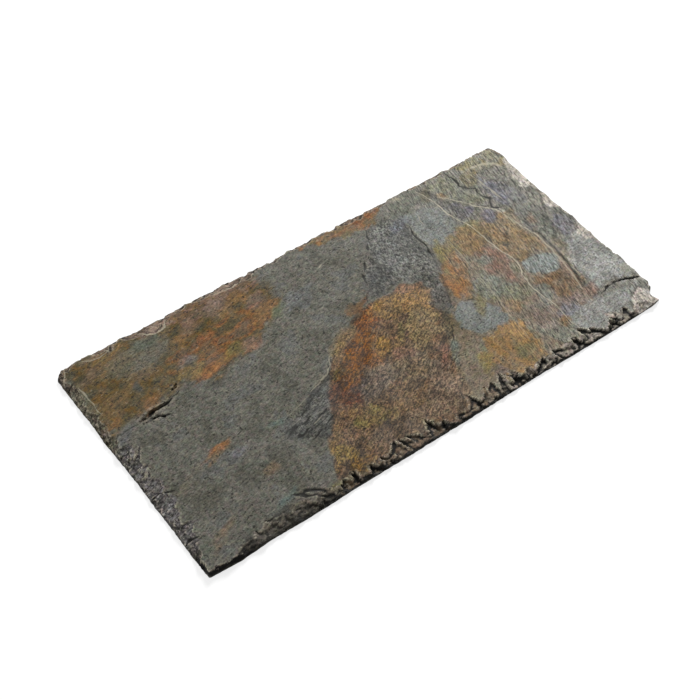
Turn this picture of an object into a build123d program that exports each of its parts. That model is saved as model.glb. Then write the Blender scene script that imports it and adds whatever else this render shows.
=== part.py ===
from build123d import *
from collections import namedtuple
from math import hypot, sin
import os

# Riven slate roof tile, split and hand dressed from one piece of stone.
# It lies flat on its bed face. The origin is the middle of the bed, +X runs along the length from the
# tail end to the head end, +Y across the width and +Z up through the riven face. Millimetres throughout.

# Driving dimensions of the tile
LENGTH = 500.0
WIDTH = 250.0
THICKNESS = 7.0

# Depth of each cleavage terrace below the highest part of the riven face
MIDDLE_DROP = 0.4
HEAD_DROP = 0.8
VALLEY_DROP = 1.0
CORNER_PLATE_DROP = 1.2
FURROW_DROP = 1.3

# Depth of the open splits below the riven face
SPLIT_DEPTH = 1.6

# How far below the riven face each dressed edge is spalled off at the outline
FRONT_SPALL_DROP = 5.0
HEAD_SPALL_DROP = 3.6
BACK_SPALL_DROP = 3.8
TAIL_SPALL_DROP = 4.8

# Half width of a dressing scar, and how far it may stand off its even place, as shares of the spacing
SCAR_HALF_WIDTH = 0.78
SCAR_JITTER = 0.22
# Turn of the jitter from one scar to the next, in radians
JITTER_TURN = 2.4

# Corner losses, measured along both sides from the square corner
FRONT_TAIL_CORNER = 2.0
FRONT_HEAD_CORNER = 3.0
BACK_HEAD_CORNER = 7.0
BACK_TAIL_CORNER = 8.0

# Height of the thin ledge left where the upper layers are broken off the front head corner
CORNER_LEDGE_HEIGHT = 2.4

# How far the blocks that cut the stone stand out of it
OVERRUN = 15.0

HEAD = LENGTH / 2
TAIL = -LENGTH / 2
BACK = WIDTH / 2
FRONT = -WIDTH / 2

# One side of the tile, going anticlockwise round it as seen from above. The insets say how far the
# dressed outline stands inside the square tile, and the reaches how far the scars eat into the riven
# face, both at even stations along the side.
Side = namedtuple("Side", "start along inward length corner_losses insets reaches spall_drop")

front_side = Side(
    start=Vector(TAIL, FRONT),
    along=Vector(1, 0),
    inward=Vector(0, 1),
    length=LENGTH,
    corner_losses=(FRONT_TAIL_CORNER, FRONT_HEAD_CORNER),
    insets=(1.6, 0.0, 1.7, 0.9, 0.8, 1.5, 1.1, 0.7, 1.0, 0.6, 1.0, 1.4, 1.5, 0.8, 0.6, 0.5, 0.8, 1.2),
    reaches=(
        5, 4, 9, 17, 15, 16, 15, 10, 10, 11, 14, 14, 13, 12,
        14, 13, 12, 9, 11, 13, 13, 14, 12, 11, 9, 9, 15, 14,
    ),
    spall_drop=FRONT_SPALL_DROP,
)
head_side = Side(
    start=Vector(HEAD, FRONT),
    along=Vector(0, 1),
    inward=Vector(-1, 0),
    length=WIDTH,
    corner_losses=(FRONT_HEAD_CORNER, BACK_HEAD_CORNER),
    insets=(0.8, 0.9, 0.0, 1.1, 0.4, 0.3, 1.8, 1.2, 0.2, 0.6),
    reaches=(6, 5, 4, 4, 6, 8, 6, 9, 9, 12, 11, 8),
    spall_drop=HEAD_SPALL_DROP,
)
back_side = Side(
    start=Vector(HEAD, BACK),
    along=Vector(-1, 0),
    inward=Vector(0, -1),
    length=LENGTH,
    corner_losses=(BACK_HEAD_CORNER, BACK_TAIL_CORNER),
    insets=(1.9, 1.6, 1.2, 1.4, 1.5, 2.4, 1.2, 0.7, 1.0, 1.2, 0.8, 1.0, 0.0, 0.3, 0.6, 1.8, 1.2, 1.2, 1.6),
    reaches=(5, 4, 7, 7, 5, 4, 6, 3, 3, 4, 6, 6, 6, 11, 9, 7, 7, 14, 12, 8, 3, 6),
    spall_drop=BACK_SPALL_DROP,
)
tail_side = Side(
    start=Vector(TAIL, BACK),
    along=Vector(0, -1),
    inward=Vector(1, 0),
    length=WIDTH,
    corner_losses=(BACK_TAIL_CORNER, FRONT_TAIL_CORNER),
    insets=(0.5, 0.2, 0.9, 0.0, 0.6, 1.1, 0.5, 0.9, 0.3, 0.7),
    reaches=(7, 9, 10, 9, 9, 9, 11, 15, 19, 19, 13, 13, 9, 3),
    spall_drop=TAIL_SPALL_DROP,
)
SIDES = (front_side, head_side, back_side, tail_side)

# The banks of the valley left by a large lost flake, which runs out through the front edge.
# Points are places along the length and across the width, from the middle of the tile.
VALLEY_TAIL_BANK = (
    (92, 106), (75, 101), (69, 91), (56, 76), (45, 65), (36, 55), (34, 48), (22, 29), (8, 30), (0, 25),
    (-15, 15), (-30, 8), (-45, -3), (-57, -17), (-70, -21), (-88, -27), (-100, -32), (-121, -47),
    (-119, -70), (-117, -95),
)
VALLEY_HEAD_BANK = (
    (26, -108), (40, -80), (60, -50), (80, -20), (92, 3), (100, 22), (107, 45), (110, 54), (109, 68),
    (112, 80), (117, 92),
)
# The middle terrace starts inside the valley, where its own edge is lost
MIDDLE_RIM = ((97, 100), (70, 30), (20, -40))

# Lines on the head terrace. Points are distances from the head end and places across the width.
HEAD_STEP = (
    (103, 112), (99, 96), (98, 75), (94, 60), (90, 50), (89, 20), (87, 5), (84, -6), (86, -19),
    (94, -40), (91, -75), (93, -95), (92, -103),
)
FURROW_TAIL_BANK = (
    (95, 112), (88, 103), (89, 95), (75, 78), (69, 67), (56, 51), (52, 30), (47, 5), (47, -15), (51, -50),
    (57, -70), (60, -88),
)
FURROW_HEAD_BANK = (
    (54, -80), (49, -62), (45, -40), (42, -12), (41, 15), (41, 35), (44, 49), (54, 54), (50, 66),
    (54, 82), (62, 94), (62, 108),
)

# Lines at the front head corner. Points are distances from the head end and from the front edge.
CORNER_PLATE_EDGE = ((52, 30), (47, 37), (39, 39.5), (22, 40.5), (15, 37), (7, 34), (-3, 31))
CORNER_BREAK_EDGE = ((0, 28), (1, 25), (4, 19), (11, 12), (11, 6), (9, 3), (10, 0))

# Open splits behind a lifted flake. Points are distances from the tail end and places across the width.
TAIL_SPLITS = (
    ((30, 32.5), (42, 37.5), (56, 39.5), (69, 39), (58, 36.5), (44, 35)),
    ((36, 30.5), (50, 31), (60, 24.5), (49, 28.8)),
    ((74, 46.5), (81, 51.5), (79, 47.5)),
)


def from_middle(points):
    """Places given from the middle of the tile."""
    return [Vector(x, y) for x, y in points]


def from_head(points):
    """Places given by their distance from the head end."""
    return [Vector(HEAD - distance, y) for distance, y in points]


def from_head_corner(points):
    """Places given by their distances from the head end and the front edge."""
    return [Vector(HEAD - along, FRONT + across) for along, across in points]


def from_tail(points):
    """Places given by their distance from the tail end."""
    return [Vector(TAIL + distance, y) for distance, y in points]


def outline():
    """The ragged outline of the bed, with its corners lost."""
    points = []
    for side in SIDES:
        first, last = side.corner_losses
        step = (side.length - first - last) / (len(side.insets) - 1)
        for number, inset in enumerate(side.insets):
            points.append(side.start + side.along * (first + step * number) + side.inward * inset)
    return make_face(Polyline(*points, close=True))


def block_above(face, height):
    """A block that cuts away all the stone over a face, down to a height above the bed."""
    return extrude(Pos(0, 0, height) * face, THICKNESS - height + OVERRUN)


def head_side_of(line, drop, curve):
    """The stone on the head side of a step that crosses the whole width."""
    far, back, front = HEAD + OVERRUN, BACK + OVERRUN, FRONT - OVERRUN
    step = [Vector(line[0].X, back), *line, Vector(line[-1].X, front)]
    rest = [step[-1], Vector(far, front), Vector(far, back), step[0]]
    return block_above(make_face([curve(*step), Polyline(*rest)]), THICKNESS - drop)


def valley():
    """The stone lost between the two banks of the valley."""
    tail_bank, head_bank = from_middle(VALLEY_TAIL_BANK), from_middle(VALLEY_HEAD_BANK)
    front = FRONT - OVERRUN
    mouth = [tail_bank[-1], Vector(tail_bank[-1].X, front), Vector(head_bank[0].X, front), head_bank[0]]
    top = Line(head_bank[-1], tail_bank[0])
    rim = make_face([Spline(*tail_bank), Polyline(*mouth), Spline(*head_bank), top])
    return block_above(rim, THICKNESS - VALLEY_DROP)


def furrow():
    """The furrow in the head terrace, open at the back edge."""
    tail_bank, head_bank = from_head(FURROW_TAIL_BANK), from_head(FURROW_HEAD_BANK)
    back = BACK + OVERRUN
    mouth = [head_bank[-1], Vector(head_bank[-1].X, back), Vector(tail_bank[0].X, back), tail_bank[0]]
    foot = Line(tail_bank[-1], head_bank[0])
    rim = make_face([Spline(*tail_bank), foot, Spline(*head_bank), Polyline(*mouth)])
    return block_above(rim, THICKNESS - FURROW_DROP)


def corner_plate():
    """The stone over the sunk plate at the front head corner."""
    edge = from_head_corner(CORNER_PLATE_EDGE)
    far, front = HEAD + OVERRUN, FRONT - OVERRUN
    rest = [edge[-1], Vector(far, edge[-1].Y), Vector(far, front), Vector(edge[0].X, front), edge[0]]
    return block_above(make_face([Spline(*edge), Polyline(*rest)]), THICKNESS - CORNER_PLATE_DROP)


def corner_break():
    """The upper layers broken off the front head corner."""
    edge = from_head_corner(CORNER_BREAK_EDGE)
    far, front = HEAD + OVERRUN, FRONT - OVERRUN
    ring = [Vector(far, edge[0].Y), *edge, Vector(edge[-1].X, front), Vector(far, front)]
    return block_above(make_face(Polyline(*ring, close=True)), CORNER_LEDGE_HEIGHT)


def tail_splits():
    """The narrow open splits behind the lifted flake."""
    faces = [make_face(Polyline(*from_tail(ring), close=True)) for ring in TAIL_SPLITS]
    return [block_above(face, THICKNESS - SPLIT_DEPTH) for face in faces]


def scar(foot, inward, reach, drop, half_width):
    """The shallow round scar of one dressing blow, as the cylinder that cuts it.

    Its deepest line falls from the riven face, reach inside the edge, to drop below that face at the
    edge. Half width is half of its width at the edge.
    """
    slope = hypot(reach, drop)
    depth = drop * reach / slope
    radius = (half_width**2 + depth**2) / (2 * depth)
    outward = inward * -1
    up = Vector(0, 0, 1)
    fall = (outward * reach - up * drop) / slope
    away = (outward * drop + up * reach) / slope
    middle = foot + up * (THICKNESS - drop) + away * radius + fall * (OVERRUN - slope) / 2
    return Plane(origin=middle, z_dir=fall) * Cylinder(radius, slope + OVERRUN)


def scars(side):
    """The scars along one dressed side."""
    pitch = side.length / len(side.reaches)
    cutters = []
    for number, reach in enumerate(side.reaches):
        station = pitch * (number + 0.5 + SCAR_JITTER * sin(JITTER_TURN * number))
        foot = side.start + side.along * station
        cutters.append(scar(foot, side.inward, reach, side.spall_drop, SCAR_HALF_WIDTH * pitch))
    return cutters


def slate_tile():
    """The split slab with its terraces, splits, broken corner and dressed sides."""
    tile = extrude(outline(), THICKNESS)
    tile -= head_side_of(from_middle(MIDDLE_RIM), MIDDLE_DROP, Polyline)
    tile -= head_side_of(from_head(HEAD_STEP), HEAD_DROP, Spline)
    for lost in (valley(), furrow(), corner_plate(), corner_break(), *tail_splits()):
        tile -= lost
    for side in SIDES:
        tile -= scars(side)
    return tile


os.makedirs("parts", exist_ok=True)
export_step(slate_tile(), "parts/slate_tile.step")
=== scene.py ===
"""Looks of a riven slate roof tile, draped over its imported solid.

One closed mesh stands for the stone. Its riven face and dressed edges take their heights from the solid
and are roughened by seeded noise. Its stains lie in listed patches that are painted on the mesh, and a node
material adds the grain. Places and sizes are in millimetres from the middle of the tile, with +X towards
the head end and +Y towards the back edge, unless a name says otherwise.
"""

import logging
from dataclasses import dataclass, field
from enum import Enum
from math import cos, pi, radians, sin
from typing import Any

import bmesh
import bpy
import numpy as np
from mathutils import Matrix, Vector
from mathutils.bvhtree import BVHTree


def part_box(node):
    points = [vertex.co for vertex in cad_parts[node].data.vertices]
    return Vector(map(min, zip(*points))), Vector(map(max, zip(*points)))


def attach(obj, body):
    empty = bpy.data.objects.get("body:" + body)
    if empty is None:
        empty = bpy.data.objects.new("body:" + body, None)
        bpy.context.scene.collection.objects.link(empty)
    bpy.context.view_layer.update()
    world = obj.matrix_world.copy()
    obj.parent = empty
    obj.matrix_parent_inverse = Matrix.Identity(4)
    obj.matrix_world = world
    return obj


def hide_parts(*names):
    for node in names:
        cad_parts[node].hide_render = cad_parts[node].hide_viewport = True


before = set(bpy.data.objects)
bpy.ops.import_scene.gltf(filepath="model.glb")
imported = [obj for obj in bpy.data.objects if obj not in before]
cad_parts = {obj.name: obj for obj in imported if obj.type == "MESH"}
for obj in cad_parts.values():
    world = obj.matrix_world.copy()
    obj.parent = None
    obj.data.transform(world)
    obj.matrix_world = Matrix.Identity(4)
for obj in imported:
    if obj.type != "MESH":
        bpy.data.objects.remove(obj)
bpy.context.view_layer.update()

log = logging.getLogger("slate")

MM = 0.001
# A noise this far from 0 takes the first or the last of its tints.
TINT_SPREAD = 0.55
# A seam fills this much of the noise on both sides of its middle.
SEAM_SHARE = 0.1
# Where along the tile the run of the cleavage turns.
FLAKE_START = -60.0
HEAD_START = 70.0

Field = np.ndarray
Point = tuple[float, float]
Range = tuple[float, float]
Rgba = tuple[float, float, float, float]


def linear(colour: str) -> Rgba:
    """Turns an sRGB hex colour into a linear one.

    Args:
        colour: Text such as "#6b6c67".

    Returns:
        Red, green, blue and an alpha of 1.
    """
    parts = [int(colour[start : start + 2], 16) / 255 for start in (1, 3, 5)]
    red, green, blue = [p / 12.92 if p <= 0.04045 else ((p + 0.055) / 1.055) ** 2.4 for p in parts]
    return red, green, blue, 1.0


def scatter(column: Field, row: Field, seed: int) -> Field:
    """Gives each cell of a lattice its own share from 0 to 1.

    Args:
        column: The cell's column.
        row: The cell's row.
        seed: Which of many patterns to use.

    Returns:
        One share for each cell.
    """
    mixed = np.sin(column * 127.1 + row * 311.7 + seed * 74.7) * 43758.5453
    return mixed - np.floor(mixed)


def noise(x: Field, y: Field, size: float, seed: int) -> Field:
    """Smooth hills and hollows over the plan.

    Args:
        x: Places along the tile.
        y: Places across the tile.
        size: Spacing of the hills.
        seed: Which of many patterns to use.

    Returns:
        A height from about -1 to 1 at each place.
    """
    column, row = np.floor(x / size), np.floor(y / size)
    u, v = x / size - column, y / size - row
    total = np.zeros_like(u)
    for right in (0, 1):
        for up in (0, 1):
            turn = 2 * pi * scatter(column + right, row + up, seed)
            slope = np.cos(turn) * (u - right) + np.sin(turn) * (v - up)
            near_u, near_v = (np.abs(1 - right - u), np.abs(1 - up - v))
            total += slope * eased(near_u) * eased(near_v)
    return 1.6 * total


def eased(share: Field) -> Field:
    """Smooths the ends of a ramp from 0 to 1."""
    share = np.clip(share, 0, 1)
    return share * share * (3 - 2 * share)


def fractal(x: Field, y: Field, size: float, seed: int, octaves: int = 4) -> Field:
    """Adds finer and finer hills and hollows up.

    Args:
        x: Places along the tile.
        y: Places across the tile.
        size: Spacing of the largest hills.
        seed: Which of many patterns to use.
        octaves: How many sizes to add up, each half as large as the one before.

    Returns:
        A height from about -1 to 1 at each place.
    """
    total = np.zeros_like(x)
    for octave in range(octaves):
        total += 0.58**octave * noise(x, y, size / 2**octave, seed + 100 * octave)
    return total


def plates(x: Field, y: Field, size: float, edge: float, seed: int) -> Field:
    """Thin cleavage plates with crisp rims.

    Args:
        x: Places along the tile.
        y: Places across the tile.
        size: Spacing of the plates.
        edge: Width of a plate's rim.
        seed: Which of many patterns to use.

    Returns:
        0 beside a plate and 1 on it.
    """
    return eased(0.5 + noise(x, y, size, seed) * size / (2 * edge))


def chips(x: Field, y: Field, size: float, seed: int) -> Field:
    """Small flat facets, each tilted its own way.

    Args:
        x: Places along the tile.
        y: Places across the tile.
        size: Spacing of the facets.
        seed: Which of many patterns to use.

    Returns:
        A height at each place for facets with a slope of 1.
    """
    column, row = np.floor(x / size), np.floor(y / size)
    nearest = np.full(x.shape, np.inf)
    height = np.zeros_like(x)
    for across in (-1, 0, 1):
        for up in (-1, 0, 1):
            cell = (column + across, row + up)
            from_x = x - (cell[0] + scatter(*cell, seed)) * size
            from_y = y - (cell[1] + scatter(*cell, seed + 1)) * size
            turn = 2 * pi * scatter(*cell, seed + 2)
            distance = np.hypot(from_x, from_y)
            closer = distance < nearest
            nearest = np.where(closer, distance, nearest)
            height = np.where(closer, np.cos(turn) * from_x + np.sin(turn) * from_y, height)
    return height


def blurred(grid: Field, cells: int) -> Field:
    """Evens out a grid of heights.

    Args:
        grid: Heights in rows and columns.
        cells: How many cells to each side go into a mean.

    Returns:
        The mean height about each place.
    """
    kernel = np.ones(2 * cells + 1) / (2 * cells + 1)
    grid = np.pad(grid, cells, mode="edge")
    grid = np.apply_along_axis(np.convolve, 1, grid, kernel, "valid")
    return np.apply_along_axis(np.convolve, 0, grid, kernel, "valid")


def highest(grid: Field, cells: int) -> Field:
    """Finds the highest place near each place.

    Args:
        grid: Heights in rows and columns.
        cells: How many cells to each side to look.

    Returns:
        The greatest height about each place.
    """
    side = 2 * cells + 1
    near = np.lib.stride_tricks.sliding_window_view(np.pad(grid, cells, mode="edge"), (side, side))
    return near.max(axis=(2, 3))


def trace(line: tuple[Point, ...], x: Field, y: Field) -> tuple[Field, Field]:
    """Measures the way to a line through points.

    Args:
        line: The points, in order.
        x: Places along the tile.
        y: Places across the tile.

    Returns:
        The distance from each place, negative to the right of the line, and how far along the line its
        nearest point lies, from 0 to 1.
    """
    nearest = np.full(x.shape, np.inf)
    passed, side = np.zeros_like(x), np.ones_like(x)
    gone = 0.0
    for (ax, ay), (bx, by) in zip(line, line[1:]):
        run_x, run_y = bx - ax, by - ay
        run = np.hypot(run_x, run_y)
        share = np.clip(((x - ax) * run_x + (y - ay) * run_y) / run**2, 0, 1)
        distance = np.hypot(x - ax - share * run_x, y - ay - share * run_y)
        closer = distance < nearest
        passed = np.where(closer, gone + share * run, passed)
        side = np.where(closer, np.where(run_x * (y - ay) < run_y * (x - ax), -1.0, 1.0), side)
        nearest = np.minimum(nearest, distance)
        gone += run
    return side * nearest, passed / gone


def palette(tints: str, value: Field) -> Field:
    """Spreads tints over a noise.

    Args:
        tints: Hex colours in order, with a space between them.
        value: A noise from about -1 to 1.

    Returns:
        A linear colour at each place.
    """
    channels = np.array([linear(tint)[:3] for tint in tints.split()]).T
    stops = np.linspace(-TINT_SPREAD, TINT_SPREAD, channels.shape[1])
    return np.stack([np.interp(value, stops, channel) for channel in channels], axis=-1)


def laid(under: Field, share: Field, over: Field) -> Field:
    """Lays a colour over another.

    Args:
        under: The lower colour at each place.
        share: How much of the upper colour shows at each place.
        over: The upper colour, one for all places or one for each.

    Returns:
        The mixed colour at each place.
    """
    return under + share[:, None] * (over - under)


def tinted(under: Field, share: Field, tint: str) -> Field:
    """Lays one tint over a colour, in the share given for each place."""
    return laid(under, share, np.array(linear(tint)[:3]))


def bent(x: Field, y: Field, strays: tuple[Range, Range], seeds: tuple[int, ...]) -> tuple[Field, Field]:
    """Lets places stray, so that what is drawn by them isn't straight.

    Args:
        x: Places along the tile.
        y: Places across the tile.
        strays: How far they stray, and how far apart they do, coarsely and finely.
        seeds: Which patterns to use, first for both strays along the tile and then for those across it.

    Returns:
        The new places along and across the tile.
    """
    (coarse, coarse_size), (fine, fine_size) = strays
    bent_x = x + coarse * noise(x, y, coarse_size, seeds[0]) + fine * noise(x, y, fine_size, seeds[1])
    bent_y = y + coarse * noise(x, y, coarse_size, seeds[2]) + fine * noise(x, y, fine_size, seeds[3])
    return bent_x, bent_y


class Graph:
    """The nodes of a material or of the sky, with one way to add to them."""

    def __init__(self, owner: bpy.types.Material | bpy.types.World) -> None:
        """Starts with no nodes.

        Args:
            owner: The material or the sky that the nodes belong to.
        """
        owner.use_nodes = True
        self.owner = owner
        self.tree = owner.node_tree
        self.tree.nodes.clear()

    def add(
        self,
        kind: str,
        inputs: dict[int | str, Any],
        out: int | str = 0,
        stops: tuple[tuple[float, str], ...] = (),
        **settings: Any,
    ) -> Any:
        """Adds a node with its settings and links.

        Args:
            kind: The node's type.
            inputs: A value, or a socket to link, for each input that differs from its default.
            out: The output to hand on.
            stops: Places and colours of a colour ramp.
            settings: Values of the node's own properties.

        Returns:
            The chosen output, or the node where it has none.
        """
        node = self.tree.nodes.new(kind)
        for name, value in settings.items():
            setattr(node, name, value)
        for key, value in inputs.items():
            if isinstance(value, bpy.types.NodeSocket):
                self.tree.links.new(value, node.inputs[key])
            else:
                node.inputs[key].default_value = value
        for number, (place, colour) in enumerate(stops):
            ramp = node.color_ramp.elements
            stop = ramp[number] if number < 2 else ramp.new(place)
            stop.position, stop.color = place, linear(colour)
        return node.outputs[out] if len(node.outputs) else node


class Edge(Enum):
    """How a stain ends: its rim's half width and stray in millimetres, and the share that is broken up."""

    CRISP = (1.0, 2.0, 0.1)
    RAGGED = (2.0, 8.0, 0.35)
    SOFT = (7.0, 10.0, 0.25)


class Cleavage(Enum):
    """The run of the cleavage in a part of the face, in degrees from the tile's length."""

    TAIL = 16.0
    FLAKE = 31.0
    HEAD = 79.0

    def drawn(self, x: Field, y: Field, length: float, width: float, seed: int) -> Field:
        """Draws a noise out along the cleavage.

        Args:
            x: Places along the tile.
            y: Places across the tile.
            length: How long the noise's largest features are.
            width: How wide they are.
            seed: Which of many patterns to use.

        Returns:
            A value from about -1 to 1 at each place.
        """
        turn = radians(self.value)
        along, across = x * cos(turn) + y * sin(turn), y * cos(turn) - x * sin(turn)
        return fractal(along / length, across / width, 1.0, seed)

    def seams(self, x: Field, y: Field, length: float, width: float, seed: int) -> Field:
        """Draws the seams between small scales of stone.

        Args:
            x: Places along the tile.
            y: Places across the tile.
            length: How long the scales are.
            width: How wide they are.
            seed: Which of many patterns to use.

        Returns:
            1 in a seam and 0 beside it.
        """
        return eased(1 - np.abs(self.drawn(x, y, length, width, seed)) / SEAM_SHARE)


# Pale lines are painted highlights on the lit rims of cleavage steps, as well as paler broken stone. Dark
# lines are painted shade in cracks and on the flanks of steps that face away from the light.
class Tone(Enum):
    """What a line on the face looks like, as the name of the attribute that holds it."""

    PALE = "pale_line"
    DARK = "dark_line"

    @property
    def gap(self) -> str:
        """Names the attribute that holds the way to the nearest line."""
        return f"{self.value}_gap"


class Side(Enum):
    """A side of the tile, as its outward direction in plan."""

    FRONT = (0.0, -1.0)
    BACK = (0.0, 1.0)
    TAIL = (-1.0, 0.0)
    HEAD = (1.0, 0.0)

    def measured(self, x: Field, y: Field, half: Point) -> tuple[Field, Field]:
        """Measures places from the side.

        Args:
            x: Places along the tile.
            y: Places across the tile.
            half: Half the tile's length and width.

        Returns:
            The way inward from the side, and the place along it.
        """
        out_x, out_y = self.value
        inward = half[0] * abs(out_x) + half[1] * abs(out_y) - x * out_x - y * out_y
        return inward, x * abs(out_y) + y * abs(out_x)


# What the mesh tells its material about each place.
LINE_NOTES = tuple(name for tone in Tone for name in (tone.value, tone.gap))
NOTES = ("bed", "wall", "flake", "floor", "head", "shards", *LINE_NOTES)


@dataclass(frozen=True)
class Patch:
    """A stain that fills a ring of given points, in tints that drift into each other."""

    name: str
    strength: float
    edge: Edge
    tints: str
    ring: tuple[Point, ...]

    @property
    def middle(self) -> Point:
        """Takes the mean of the ring's points."""
        return tuple(np.mean(self.ring, axis=0))

    def depth(self, x: Field, y: Field) -> Field:
        """Measures how far places lie inside the ring, negative outside it.

        Args:
            x: Places along the tile.
            y: Places across the tile.

        Returns:
            The distance from the ring.
        """
        closed = self.ring + self.ring[:1]
        inside = np.zeros(x.shape, bool)
        for (ax, ay), (bx, by) in zip(closed, closed[1:]):
            if ay != by:
                inside ^= ((ay > y) != (by > y)) & (x < (bx - ax) * (y - ay) / (by - ay) + ax)
        distance = np.abs(trace(closed, x, y)[0])
        return np.where(inside, distance, -distance)

    def share(self, x: Field, y: Field, rim: float, start: float = 0.5) -> Field:
        """Tells how much each place belongs to the patch.

        Args:
            x: Places along the tile.
            y: Places across the tile.
            rim: How wide the patch's rim is.
            start: The share on the ring itself.

        Returns:
            A share from 0 outside the patch to 1 inside it.
        """
        return eased(self.depth(x, y) / rim + start)


@dataclass(frozen=True)
class Spot:
    """An oval stain: its middle, its two half widths, the turn of the first in degrees, and its tints."""

    middle: Point
    reach: Point
    turn: float
    strength: float
    tints: str
    edge: Edge = Edge.RAGGED

    def depth(self, x: Field, y: Field) -> Field:
        """Measures about how far places lie inside the oval, negative outside it.

        Args:
            x: Places along the tile.
            y: Places across the tile.

        Returns:
            The distance from the oval.
        """
        from_x, from_y = x - self.middle[0], y - self.middle[1]
        turn = radians(self.turn)
        first = (from_x * cos(turn) + from_y * sin(turn)) / self.reach[0]
        second = (from_y * cos(turn) - from_x * sin(turn)) / self.reach[1]
        return min(self.reach) * (1 - np.hypot(first, second))


@dataclass(frozen=True)
class Line:
    """A crack or the rim of a cleavage step: its half width, its strength, its rise and its points."""

    tone: Tone
    width: float
    strength: float
    rise: float
    points: tuple[Point, ...]


@dataclass(frozen=True)
class Break:
    """The fresh stone along one side.

    It has a stretch, tints, shares of those tints, of dirt and painted shade and of pale rims that show,
    and the width of its dark rim of painted shade.
    """

    side: Side
    stretch: Range
    tints: str
    cover: float
    dirt_and_shade: float
    rims: float
    shade: float


@dataclass(frozen=True)
class Blows:
    """Blows of the dressing knife on a stretch of one side, and the ranges of the facets they leave."""

    side: Side
    stretch: Range
    count: int
    half_width: Range
    reach: Range
    floor: Range
    skew: Range


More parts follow.
